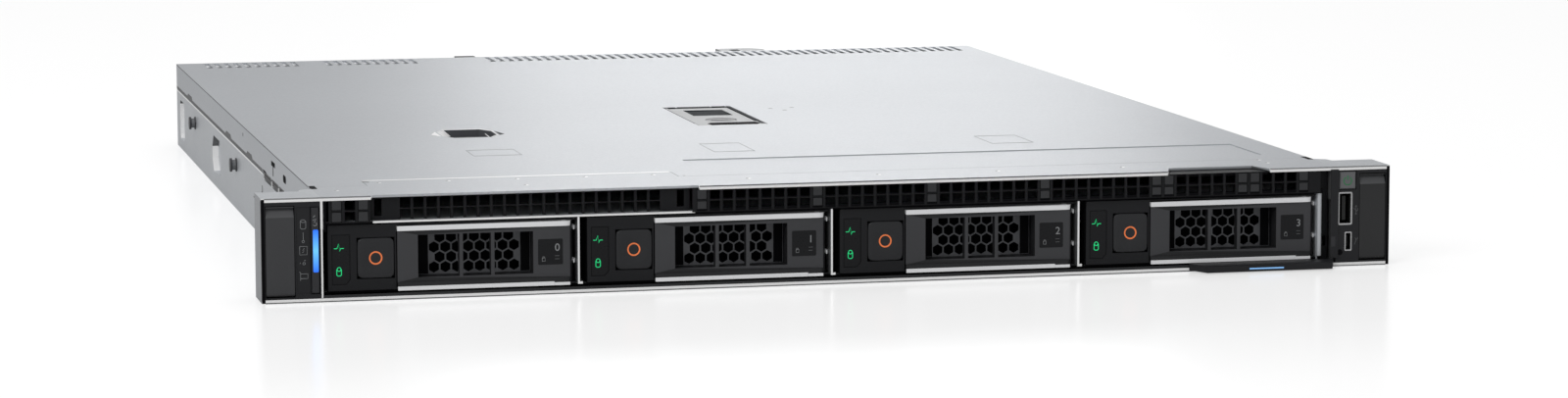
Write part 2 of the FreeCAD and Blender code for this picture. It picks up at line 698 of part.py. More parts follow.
def fan_blade(x, z, d0, d1, turn):
    """One flat blade set at a steep angle to the shaft, turned into its place round the hub."""
    chord, thick = 9.0, 1.6
    outline = [(x - chord / 2, d0), (x - chord / 2 + thick, d0), (x + chord / 2, d1), (x + chord / 2 - thick, d1)]
    blade = plan(outline, z + hub_radius - 1.2, z + blade_reach)
    blade.rotate(at(x, 0, z), Vector(0, 1, 0), turn)
    return blade


def motherboard():
    """Main board with the processor socket frame and memory sockets on it."""
    board = block(board_left, board_right, board_front, board_rear, board_bottom, board_top)
    socket = block(12, 68, board_front + 46, board_front + 102, board_top, board_top + 2.4)
    strips = [block(x - 3.2, x + 3.2, memory_front, memory_rear, board_top, board_top + 5.0).cut(
        block(x - 0.9, x + 0.9, memory_front + 4, memory_rear - 4, board_top + 1.2, board_top + 6)) for x in dimm_lines]
    edge = block(-44, -36, board_front + 28, board_front + 88, board_top, board_top + 9)
    return join([board, socket, edge] + strips)


dimm_lines = (96.0, 105.6, 115.2, 124.8)


def memory_modules():
    for x in dimm_lines:
        stick = block(x - 0.65, x + 0.65, memory_front + 4.4, memory_rear - 4.4, board_top + 1.4, board_top + 31.0)
        yield stick


def heatsink():
    """Processor lid plate with a row of fins along the airflow."""
    low = board_top + 2.4
    d0, d1 = board_front + 32, board_front + 122
    lid = block(20, 60, d0 + 22, d1 - 28, low, low + 2.2)
    base = block(-4, 84, d0, d1, low + 2.2, low + 5.2)
    fins = [block(-4 + 5.8 * k, -3.0 + 5.8 * k, d0, d1, low + 5.2, 39.0) for k in range(16)]
    return join([lid, base] + fins)


def air_shroud():
    """Moulded duct from the fans over the heatsink and memory."""
    d0 = board_front + 1.0
    d1 = memory_rear
    roof = block(-30, 140, d0, d1, 40.0, 41.2)
    walls = [block(-30, -28.8, d0, d1, board_top, 40.0), block(138.8, 140, d0, d1, board_top, 40.0)]
    return join([roof] + walls)


# ---- rear panel and sockets ----
slot_rows = ((3.6, 20.2), (21.8, 38.4))
slot_left, slot_right = 112.0, 208.0
boot_left, boot_right = -86.0, -54.0
boot_low, boot_high = 3.0, 41.2
jack_z = board_top
psu_low = sheet + slide_gap


def port_list():
    """Name, left edge, width, height and whether it is an open jack, from left to right."""
    return (
        ("serial", -46.0, 31.0, 12.5), ("jack", -10.0, 16.2, 13.6), ("video", 11.0, 31.0, 12.5),
        ("usb", 46.5, 14.6, 15.6), ("jack", 66.0, 16.2, 13.6), ("jack", 85.0, 16.2, 13.6),
    )


def rear_panel():
    """Rear wall with openings for supplies, boot module, sockets and expansion slots."""
    d0, d1 = body_depth - sheet, body_depth
    wall = block(-upper_wall_in, upper_wall_in, d0, d1, sheet, top_under - loose)
    holes = [block(x - psu_width / 2 - loose, x + psu_width / 2 + loose, d0 - 1, d1 + 1, 0, psu_low + psu_height + loose) for x in psu_centres]
    holes.append(block(boot_left - loose, boot_right + loose, d0 - 1, d1 + 1, boot_low - loose, 50))
    for _, x, wide, high in port_list():
        holes.append(block(x - 0.2, x + wide + 0.2, d0 - 1, d1 + 1, jack_z - 0.2, jack_z + high + 0.2))
    for z0, z1 in slot_rows:
        holes.append(block(slot_left, slot_right, d0 - 1, d1 + 1, z0, z1))
    for x in range(-44, 100, 12):
        holes.append(block(x, x + 8.4, d0 - 1, d1 + 1, 28.0, 36.0))
    lugs = [profile([(body_depth, 36.8), (body_depth + 4.2, 38.5), (body_depth + 4.2, 41.4), (body_depth, 41.4)], x, x + 1.5)
            for x in (card_left - 1.8, card_right + 0.3)]
    hole = bore_radius(card_pin_radius)
    pin = many_sided_x(card_left - 1.1, card_right + 1.1, card_axis_depth, card_axis_z, hole, pin_sides)
    return cut(join([cut(wall, holes)] + lugs), [pin])


card_left, card_right = 82.0, 107.0
card_axis_depth, card_axis_z = body_depth + 2.3, 39.4
card_pin_radius = 0.9


def card_latch():
    """Flip tab over the expansion slots, pinned between two lugs of the rear panel."""
    tip = body_depth + rear_reach
    radius = 1.8
    barrel = many_sided_x(card_left, card_right, card_axis_depth, card_axis_z, radius, 2 * pin_sides)
    pin = many_sided_x(card_left - 1.0, card_right + 1.0, card_axis_depth, card_axis_z, card_pin_radius, pin_sides)
    outline = [(card_left, card_axis_depth), (card_right, card_axis_depth), (card_right, tip - 7), (card_right - 6, tip), (card_left, tip)]
    tab = plan(outline, card_axis_z + 0.2, card_axis_z + radius)
    slot = block(card_left + 6, card_left + 11, body_depth + 8, tip - 7, 30, 50)
    return join([barrel, pin, tab]).cut(slot)


def rear_ports():
    """Socket bodies on the main board, level with the rear panel."""
    d0, d1 = board_rear - 14, body_depth + 0.6
    for kind, x, wide, high in port_list():
        body = block(x, x + wide, d0, d1, jack_z, jack_z + high)
        if kind == "jack":
            mouth = block(x + 2.1, x + wide - 2.1, d0 + 3, d1 + 1, jack_z + 2.2, jack_z + 11.2)
            yield body.cut(mouth)
        elif kind == "usb":
            for level in (1.0, 8.4):
                body = body.cut(block(x + 0.9, x + wide - 0.9, d0 + 3, d1 + 1, jack_z + level, jack_z + level + 5.4))
            yield body
        else:
            flange = section([(x + 6, jack_z + 1.6), (x + wide - 6, jack_z + 1.6), (x + wide - 5, jack_z + 10), (x + 5, jack_z + 10)], d1, d1 + 5)
            rim = section([(x + 7, jack_z + 2.6), (x + wide - 7, jack_z + 2.6), (x + wide - 6.2, jack_z + 9), (x + 6.2, jack_z + 9)], d1, d1 + 6)
            yield join([body, flange.cut(rim)])


def slot_blanks():
    """Two filler brackets behind the expansion openings, and the riser board between them."""
    d0 = body_depth - sheet
    for z0, z1 in slot_rows:
        yield block(slot_left - 2, slot_right + 2, d0 - 0.8, d0, z0 - 0.7, z1 + 0.7)


def riser_board():
    d0, d1 = board_rear - 111, board_rear - 15
    board = block(158.0, 159.6, d0, d1, board_top, 38.0)
    strip = block(159.6, 167.0, d0 + 8, d1 - 10, 12.0, 19.6)
    return join([board, strip])


def psu_cage():
    """Guide walls for the two power supplies, standing on the tray."""
    d0, d1 = body_depth - psu_length - 12, body_depth - sheet
    outer = psu_width / 2 + loose
    left, right = psu_centres
    high = 40.0
    yield block(left - outer - 1.0, left - outer, d0, d1, sheet, high)
    channel = block(left + outer, right - outer, d0, d1, sheet, high)
    yield channel.cut(block(left + outer + 1, right - outer - 1, d0 + 1, d1 + 1, sheet - 1, high - 1))
    yield block(right + outer, right + outer + 1.0, d0, d1, sheet, high)


psu_face = body_depth + 2.0
inlet_width, inlet_height, inlet_deep = 24.6, 16.4, 14.0
inlet_shift = 11.5
latch_slot = 12.0
latch_pin = 0.9


def power_supply(x):
    """Supply case with an inlet, an exhaust grille and a fixed pull loop at the back."""
    low, high = psu_low, psu_low + psu_height
    x0, x1 = x - psu_width / 2, x + psu_width / 2
    case = block(x0, x1, body_depth - psu_length, psu_face, low, high)
    inlet = block(x + inlet_shift - inlet_width / 2, x + inlet_shift + inlet_width / 2, psu_face - inlet_deep, psu_face + 1, 5.0, 5.0 + inlet_height)
    cells = [block(x0 + 4, x0 + 24, psu_face - 3, psu_face + 1, z, z + 2.4) for z in (5.0, 9.0, 13.0, 17.0, 21.0)]
    relief = block(x1 - latch_slot, x1 + 1, psu_face - 22, psu_face + 1, 27.4, 36.0)
    loop = block(x0 + 4, x0 + 36, psu_face, psu_face + 22, 30.5, 33.5)
    loop = loop.cut(block(x0 + 8, x0 + 32, psu_face - 0.01, psu_face + 18, 30, 34))
    blades = [block(x + inlet_shift + s - 1, x + inlet_shift + s + 1, psu_face - inlet_deep, psu_face - 3, 11, 15) for s in (-7, 0, 7)]
    hole = bore_radius(latch_pin)
    socket = many_sided_x(x1 - latch_slot - 1.2, x1 - latch_slot + 1, psu_face - 18.5, 30.1, hole, pin_sides)
    return join([cut(case, [inlet, relief, socket] + cells), loop] + blades)


def psu_latch(x):
    """Thumb latch beside the loop; it turns on a pin across the case."""
    x1 = x + psu_width / 2
    arm = block(x1 - latch_slot + 0.5, x1 - 1.2, psu_face - 20, psu_face + 12, 29.0, 31.2)
    barrel = many_sided_x(x1 - latch_slot + 0.5, x1 - 1.2, psu_face - 18.5, 30.1, 1.6, pin_sides)
    paddle = block(x1 - latch_slot + 0.5, x1 - 1.2, psu_face + 9, psu_face + 12, 31.2, 34.6)
    nib = block(x1 - 6.5, x1 - 3.0, psu_face - 12, psu_face - 9, 31.2, 32.4)
    pin = many_sided_x(x1 - latch_slot - 1.0, x1 - latch_slot + 1, psu_face - 18.5, 30.1, latch_pin, pin_sides)
    return join([arm, barrel, paddle, nib, pin])


def boot_module():
    """Hot-plug module beside the supplies: sleeve with a pull lip at its right edge."""
    case = block(boot_left, boot_right, body_depth - 120, body_depth + 14.5, boot_low, boot_high)
    front = block(boot_left + 3, boot_right - 12, body_depth + 10, body_depth + 16, 8, 36)
    lip = block(boot_right - 10.5, boot_right, body_depth + 14.5, body_depth + 25, boot_high - 1.6, boot_high)
    return join([case.cut(front), lip])


# ---- rail studs ----
stud_depths = (304.0, 491.5)
stud_height = 21.3
stud_head_radius, stud_neck_radius = 3.2, 2.4
stud_head_thick, stud_reach = 1.0, 3.2


def rail_studs():
    """Headed studs that the rails hook over, two on each side wall."""
    for depth in stud_depths:
        neck_end = half_body + stud_reach - stud_head_thick
        neck = many_sided_x(half_body, neck_end, depth, stud_height, stud_neck_radius, pin_sides)
        head = rod_x(neck_end, half_body + stud_reach, depth, stud_height, stud_head_radius)
        stud = join([neck, head])
        yield stud
        yield mirror(stud)


def build():
    save("base_tray", base_tray())
    save("front_top_panel", front_top_panel())
    save("right_ear", right_ear())
    save("left_ear", mirror(right_ear()))
    save("left_control_bezel", left_control_bezel())
    save("right_control_bezel", right_control_bezel())
    save("front_usb_ports", *front_usb_ports())
    save("id_button", id_button())
    save("power_button", power_button())
    save("right_slam_latch", right_slam_latch())
    save("left_slam_latch", mirror(right_slam_latch()))
    save("information_tag", information_tag())
    save("drive_cage", drive_cage())
    save("bay_dividers", *bay_dividers())
    save("front_grille", front_grille())
    save("side_vent", side_vent())
    save("drive_blank", drive_blank())
    save("rail_studs", *rail_studs())
    save("board_standoffs", *board_standoffs())
    for number, left in enumerate(carrier_lefts, 1):
        save("carrier_%d" % number, carrier(left))
        save("carrier_handle_%d" % number, carrier_handle(left))
        save("release_button_%d" % number, release_button(left))
        save("drive_%d" % number, drive(left))
    save("top_cover", top_cover())
    save("latch_housing", latch_housing())
    save("cover_latch", cover_latch())
    save("latch_lock", latch_lock())
    save("backplane", backplane())
    save("fan_frames", *fan_frames())
    for number, x in enumerate(fan_centres, 1):
        save("fan_rotor_%d" % number, fan_rotor(x))
    save("motherboard", motherboard())
    save("memory_modules", *memory_modules())
    save("heatsink", heatsink())
    save("air_shroud", air_shroud())
    save("rear_panel", rear_panel())
    save("rear_ports", *rear_ports())
    save("slot_blanks", *slot_blanks())
    save("riser_board", riser_board())
    save("card_latch", card_latch())
    save("psu_cage", *psu_cage())
    for number, x in enumerate(psu_centres, 1):
        save("power_supply_%d" % number, power_supply(x))
        save("psu_latch_%d" % number, psu_latch(x))
    save("boot_module", boot_module())


build()
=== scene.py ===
"""Looks of a one-unit rack server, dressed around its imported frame. Lengths in the helpers are mm.

A depth is counted backwards from the front face of the rack ears, a height from the underside.
"""
import math

import bmesh
import bpy
from mathutils import Matrix, Vector


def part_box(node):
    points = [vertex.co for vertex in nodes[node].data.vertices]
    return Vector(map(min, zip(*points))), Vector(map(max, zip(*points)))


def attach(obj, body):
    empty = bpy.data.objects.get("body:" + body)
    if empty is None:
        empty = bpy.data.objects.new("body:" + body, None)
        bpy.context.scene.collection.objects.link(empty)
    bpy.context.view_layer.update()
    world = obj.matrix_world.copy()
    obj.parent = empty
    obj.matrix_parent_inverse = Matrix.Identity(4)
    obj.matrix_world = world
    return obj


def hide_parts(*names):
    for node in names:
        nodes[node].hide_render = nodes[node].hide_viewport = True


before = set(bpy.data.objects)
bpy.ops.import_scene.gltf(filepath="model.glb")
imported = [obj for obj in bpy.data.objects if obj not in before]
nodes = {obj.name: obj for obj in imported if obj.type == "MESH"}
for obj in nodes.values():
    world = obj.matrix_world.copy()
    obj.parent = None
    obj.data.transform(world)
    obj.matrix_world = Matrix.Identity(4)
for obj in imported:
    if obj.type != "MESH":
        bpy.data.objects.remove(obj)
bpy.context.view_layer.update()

MM = 0.001
face_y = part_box("left_ear")[0].y
half_body = -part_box("base_tray")[0].x / MM
body_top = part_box("top_cover")[1].z / MM
panel_y = (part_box("rear_panel")[0].y - face_y) / MM + 1.0
ear_end = half_body + 22.6    # outer end of the plastic on an ear
cover_end = 585.0             # depth of the cover's rear edge
# Forward faces within this depth get the bright cut-edge finish with its painted highlight.
lip = 1.6                     # depth up to which a face that looks forward is a cut edge
raised = body_top + 0.02      # marks on the cover stand this high
sunk = body_top - 0.3         # and reach down to here


def at(x, depth, z):
    return Vector((x * MM, face_y + depth * MM, z * MM))


def left_of(node):
    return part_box(node)[0].x / MM


def depth_of(node):
    return (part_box(node)[0].y - face_y) / MM


# ---- materials
def graph(name):
    mat = bpy.data.materials.new(name)
    mat.use_nodes = True
    tree = mat.node_tree
    return mat, tree, tree.nodes["Principled BSDF"]


def add(tree, kind, **values):
    node = tree.nodes.new("ShaderNode" + kind)
    for key, value in values.items():
        if key in node.inputs:
            node.inputs[key].default_value = value
        else:
            setattr(node, key, value)
    return node


def noise(tree, coords, scale, detail=3.0, stretch=None):
    """Fine noise in object space, drawn out along an axis if stretch is given."""
    texture = add(tree, "TexNoise", Scale=scale, Detail=detail)
    if stretch:
        mapping = add(tree, "Mapping")
        mapping.inputs["Scale"].default_value = stretch
        tree.links.new(coords, mapping.inputs["Vector"])
        coords = mapping.outputs["Vector"]
    tree.links.new(coords, texture.inputs["Vector"])
    return texture.outputs["Fac"]


def spread(tree, value, low, high):
    """Map the middle of a noise onto low..high."""
    node = add(tree, "MapRange")
    node.inputs["From Min"].default_value = 0.3
    node.inputs["From Max"].default_value = 0.7
    node.inputs["To Min"].default_value = low
    node.inputs["To Max"].default_value = high
    tree.links.new(value, node.inputs["Value"])
    return node.outputs["Result"]


def blend_colours(tree, factor, one, two):
    node = add(tree, "Mix", data_type="RGBA")
    tree.links.new(factor, node.inputs[0])
    for socket, value in ((6, one), (7, two)):
        if hasattr(value, "links"):
            tree.links.new(value, node.inputs[socket])
        else:
            node.inputs[socket].default_value = (*value, 1.0)
    return node.outputs[2]


def surface(name, colour, rough, metal=0.0, patch=0.05, patch_scale=18.0, grain=0.0, grain_scale=1400.0,
            stretch=None, edge=0.25, specular=0.5):
    """Base for every finish: slow patches of tone, a fine grain, uneven gloss and eased edges."""
    mat, tree, shader = graph(name)
    coords = add(tree, "TexCoord").outputs["Object"]
    slow = noise(tree, coords, patch_scale, 4.0)
    fine = noise(tree, coords, grain_scale, 2.0, stretch)
    tone = spread(tree, slow, 0.0, 1.0)
    dark = tuple(c * (1 - patch) for c in colour)
    light = tuple(min(1.0, c * (1 + patch)) for c in colour)
    tree.links.new(blend_colours(tree, tone, dark, light), shader.inputs["Base Color"])
    uneven = 0.06
    tree.links.new(spread(tree, fine, rough - uneven, rough + uneven), shader.inputs["Roughness"])
    shader.inputs["Metallic"].default_value = metal
    shader.inputs["Specular IOR Level"].default_value = specular
    bump = add(tree, "Bump", Strength=grain, Distance=0.00005)
    tree.links.new(fine, bump.inputs["Height"])
    if edge:
        eased = add(tree, "Bevel", samples=3, Radius=edge * MM)
        tree.links.new(eased.outputs["Normal"], bump.inputs["Normal"])
    tree.links.new(bump.outputs["Normal"], shader.inputs["Normal"])
    return mat


# Adds an emitted glow: real light on the lamps, a painted glow on the edges and trims that are not lamps.
def glow(mat, colour, strength):
    shader = mat.node_tree.nodes["Principled BSDF"]
    shader.inputs["Emission Color"].default_value = (*colour, 1.0)
    shader.inputs["Emission Strength"].default_value = strength
    return mat


steel = dict(metal=0.55, grain=0.25, grain_scale=900.0)
moulded = dict(patch=0.1, grain=0.4, grain_scale=2600.0)
rubbed = dict(patch=0.1, grain=0.8, grain_scale=2200.0)
drawn = dict(patch=0.1, grain=0.2, edge=0)
lit = dict(patch=0.1, grain=0.1, edge=0)
M = {
    "cover": surface("cover_steel", (0.585, 0.608, 0.64), 0.40, patch=0.025, patch_scale=6.0, **steel),
    "tray": surface("tray_steel", (0.635, 0.66, 0.69), 0.38, patch=0.04, patch_scale=14.0, **steel),
    # Ear steel made darker on the ears' side faces: painted shade.
    "ear_side_shade": surface("ear_side_painted_shade", (0.40, 0.413, 0.432), 0.42, patch=0.04, patch_scale=14.0, **steel),
    # Bright cut edge of bare steel with a glow that is a painted highlight; also used for painted highlights
    # on slopes, dimples and bevels.
    "edge_and_highlight": glow(surface("cut_edge_and_painted_highlight", (0.90, 0.90, 0.90), 0.34, metal=0.1, patch=0.04,
                             patch_scale=60.0, grain=0.4, grain_scale=1500.0, stretch=(1.0, 1.0, 0.2)),
                     (1.0, 1.0, 1.0), 0.12),
    "inner": surface("shaded_inner_steel", (0.20, 0.205, 0.21), 0.5, metal=0.5, patch=0.1, grain=0.2),
    "bezel": surface("bezel_plastic", (0.015, 0.0155, 0.018), 0.46, patch=0.12, grain=0.55,
                     grain_scale=2600.0, specular=0.35),
    "grille": surface("grille_plastic", (0.008, 0.0084, 0.0100), 0.5, patch=0.12, grain=0.4,
                      grain_scale=2600.0, specular=0.25),
    "latch": surface("thumb_latch_plastic", (0.034, 0.0345, 0.036), 0.55, specular=0.35, **rubbed),
    # Lighter copy of the latch plastic for the groove's upward slope: painted light.
    "groove": surface("thumb_groove_painted_light", (0.085, 0.087, 0.092), 0.5, **rubbed),
    # Lighter copy of the latch plastic for the left latch: painted light.
    "lit_left_latch": surface("latch_plastic_painted_light", (0.060, 0.061, 0.065), 0.55, specular=0.35, **rubbed),
    "handle": surface("handle_plastic", (0.020, 0.0205, 0.0225), 0.42, patch=0.1, grain=0.35,
                      grain_scale=2600.0, specular=0.35),
    "frame": surface("carrier_plastic", (0.010, 0.0105, 0.0125), 0.46, specular=0.3, **moulded),
    "button": surface("button_plastic", (0.026, 0.0268, 0.0295), 0.45, patch=0.1, grain=0.5,
                      grain_scale=2600.0, specular=0.35),
    # Silver trim with a glow that is painted light; also the painted light seen through the rear vents.
    "silver_with_glow": glow(surface("silver_trim_painted_glow", (0.88, 0.885, 0.90), 0.40, metal=0.05, patch=0.03, patch_scale=40.0,
                           grain=0.5, grain_scale=1800.0, stretch=(0.05, 1.0, 1.0)), (0.97, 0.98, 1.0), 0.08),
    "mesh": surface("perforated_metal", (0.15, 0.154, 0.165), 0.45, metal=0.2, patch=0.1, grain=0.3),
    "rib": surface("handle_rib_plastic", (0.050, 0.051, 0.056), 0.45, **moulded),
    "lamp_glass": surface("smoked_lamp_window", (0.009, 0.0095, 0.011), 0.32, patch=0.15, grain=0.05,
                          edge=0.15, specular=0.25),
    # Near-black put into gaps, holes and hollows, and behind meshes: painted shade.
    "painted_gap_shade": surface("painted_deep_shade", (0.005, 0.005, 0.006), 0.7, patch=0.2, grain=0.2, edge=0,
                         specular=0.05),
    "slate": surface("slate_label_blank", (0.036, 0.041, 0.046), 0.7, specular=0.1, **drawn),
    "gap_shade": surface("shaded_gap", (0.075, 0.079, 0.086), 0.7, specular=0.1, **drawn),
    "icon": surface("printed_grey", (0.32, 0.33, 0.34), 0.55, patch=0.08, grain=0.2, edge=0),
    "icon_dim": surface("printed_dark_grey", (0.13, 0.135, 0.14), 0.55, patch=0.08, grain=0.2, edge=0),
    "green": glow(surface("green_light", (0.02, 0.45, 0.16), 0.4, **lit), (0.01, 0.62, 0.20), 0.75),
    "power_green": surface("power_sign_green", (0.008, 0.30, 0.08), 0.5, **lit),
    # Orange ring colour with a painted glow.
    "orange_glow": glow(surface("orange_ring_painted_glow", (0.80, 0.20, 0.06), 0.4, patch=0.06, grain=0.1, edge=0),
                   (1.0, 0.22, 0.06), 0.25),
    # Blue line colour with a painted glow.
    "blue_line_glow": glow(surface("tag_blue_painted_glow", (0.20, 0.45, 0.80), 0.4, **lit), (0.25, 0.50, 0.90), 0.5),
    "key": surface("id_key_plastic", (0.027, 0.0275, 0.031), 0.45, **moulded),
    "slot_shade": surface("shaded_slot", (0.060, 0.061, 0.064), 0.5, **drawn),
    "cell": surface("filled_cell_plastic", (0.030, 0.031, 0.034), 0.5, **moulded),
    "power": surface("power_key_plastic", (0.165, 0.169, 0.176), 0.42, **moulded),
    "port": surface("port_shell_metal", (0.62, 0.62, 0.63), 0.3, metal=0.9, patch=0.05, grain=0.2),
    "port_dark": surface("port_insulator", (0.012, 0.013, 0.012), 0.4, patch=0.2, grain=0.3, edge=0),
    "gold": surface("gold_contact", (0.75, 0.52, 0.18), 0.3, metal=1.0, patch=0.08, grain=0.1, edge=0),
    "stud": surface("stud_dark_steel", (0.055, 0.056, 0.062), 0.38, metal=0.4, patch=0.1, grain=0.2),
    "stud_neck": surface("stud_neck_steel", (0.20, 0.205, 0.215), 0.38, metal=0.4, patch=0.1, grain=0.2),
    "screw": surface("screw_steel", (0.52, 0.53, 0.54), 0.3, metal=0.8, patch=0.05, grain=0.2),
    # Dark grey on the bends over the front edges: a painted dark reflection.
    "bend_reflection": surface("painted_bend_reflection", (0.30, 0.305, 0.315), 0.45, metal=0.3, patch=0.05, grain=0.2),
    "seam": surface("shaded_seam_steel", (0.135, 0.138, 0.143), 0.5, metal=0.3, patch=0.06, grain=0.2),
    "drive": surface("drive_casting", (0.42, 0.43, 0.44), 0.4, metal=0.7, patch=0.06, grain=0.4),
    "board": surface("board_green", (0.012, 0.085, 0.045), 0.38, patch=0.3, patch_scale=160.0, grain=0.4),
    "chip": surface("chip_black", (0.015, 0.015, 0.016), 0.4, patch=0.15, grain=0.3),
    "fins": surface("fin_aluminium", (0.62, 0.63, 0.64), 0.35, metal=0.9, patch=0.05, grain=0.4,
                    grain_scale=1500.0, stretch=(1.0, 0.1, 1.0)),
    "fan": surface("fan_plastic", (0.020, 0.020, 0.022), 0.42, patch=0.12, grain=0.3),
    "shroud": surface("shroud_plastic", (0.030, 0.031, 0.034), 0.5, patch=0.12, grain=0.6),
    "lever_line": surface("latch_line_grey", (0.17, 0.175, 0.185), 0.5, patch=0.08, grain=0.2, edge=0),
    "lever": surface("latch_grey", (0.40, 0.41, 0.42), 0.42, metal=0.35, patch=0.05, grain=0.3),
    "lock": surface("lock_grey", (0.22, 0.225, 0.23), 0.4, metal=0.3, patch=0.06, grain=0.3),
    "supply": surface("supply_case_metal", (0.58, 0.59, 0.60), 0.36, metal=0.7, patch=0.04, grain=0.3,
                      grain_scale=1200.0, stretch=(1.0, 0.2, 1.0)),
    "touch": surface("touch_point_orange", (0.55, 0.13, 0.045), 0.45, patch=0.08, grain=0.4),
    "video_blue": surface("video_socket_blue", (0.02, 0.06, 0.28), 0.45, patch=0.1, grain=0.3, edge=0),
    # Cover steel made a little darker along the pressed outlines: painted shade in the creases.
    "pressed_line_shade": surface("pressed_line_painted_shade", (0.53, 0.545, 0.56), 0.42, metal=0.5, patch=0.03, grain=0.25),
}

bar_foot, bar_head = 12.3, 29.7    # heights of the lit identification bar


def light_bar_material():
    """Blue bar that is palest in its middle, by height."""
    mat, tree, shader = graph("blue_light_bar")
    parts = add(tree, "SeparateXYZ")
    tree.links.new(add(tree, "TexCoord").outputs["Object"], parts.inputs["Vector"])
    ramp = add(tree, "ValToRGB")
    along = add(tree, "MapRange")
    along.inputs["From Min"].default_value = bar_foot * MM
    along.inputs["From Max"].default_value = bar_head * MM
    tree.links.new(parts.outputs["Z"], along.inputs["Value"])
    tree.links.new(along.outputs["Result"], ramp.inputs["Fac"])
    deep, pale = (0.012, 0.12, 0.72), (0.11, 0.42, 0.95)
    colours = ((0.0, deep), (0.5, pale), (1.0, deep))
    while len(ramp.color_ramp.elements) < len(colours):
        ramp.color_ramp.elements.new(0.5)
    for element, (position, colour) in zip(ramp.color_ramp.elements, colours):
        element.position = position
        element.color = (*colour, 1.0)
    tree.links.new(ramp.outputs["Color"], shader.inputs["Base Color"])
    tree.links.new(ramp.outputs["Color"], shader.inputs["Emission Color"])
    shader.inputs["Emission Strength"].default_value = 0.9
    shader.inputs["Roughness"].default_value = 0.3
    return mat


M["blue"] = light_bar_material()


# ---- finishes of the carried-over nodes
def dress(node, base, *rules):
    """Give a CAD node its finish; each rule is (finish, test of a face's middle and normal in mm)."""
    mesh = nodes[node].data
    mesh.materials.clear()
    mesh.materials.append(M[base])
    for finish, _ in rules:
        mesh.materials.append(M[finish])
    for polygon in mesh.polygons:
        polygon.material_index = 0
        c = polygon.center
        middle = Vector((c.x / MM, (c.y - face_y) / MM, c.z / MM))
        for index, (_, test) in enumerate(rules, 1):
            if test(middle, polygon.normal):
                polygon.material_index = index
                break


def front_edge(c, n):
    return n.y < -0.9 and c.y < lip


def ear_tip(c, n):
    """The outer upright of an ear, which the plastic wraps in front."""
    return front_edge(c, n) and abs(c.x) > ear_end - 0.2 and 1.2 < c.z < body_top - 1.2


def wall_front(c, n):
    """Front faces of the tray's walls, painted black as shade."""
    return front_edge(c, n) and c.z > 1.2


def pocket(c, n):
    """Outward faces of the pressed pockets in the side walls."""
    return half_body - 4.8 < abs(c.x) < half_body - 0.2 and c.x * n.x > -0.1 * abs(c.x) and 2.0 < c.z < 38.0


def inside(c, n):
    """Faces of the sheet metal that look into the case."""
    return c.z < body_top - 0.5 and (n.z < -0.5 or (c.x * n.x < 0 and abs(n.x) > 0.5))


def recess(c, n):
    """Faces of the thumb recess in the cover."""
    return body_top - 3.2 < c.z < body_top - 0.02 and -137 < c.x < -106 and 198 < c.y < 237


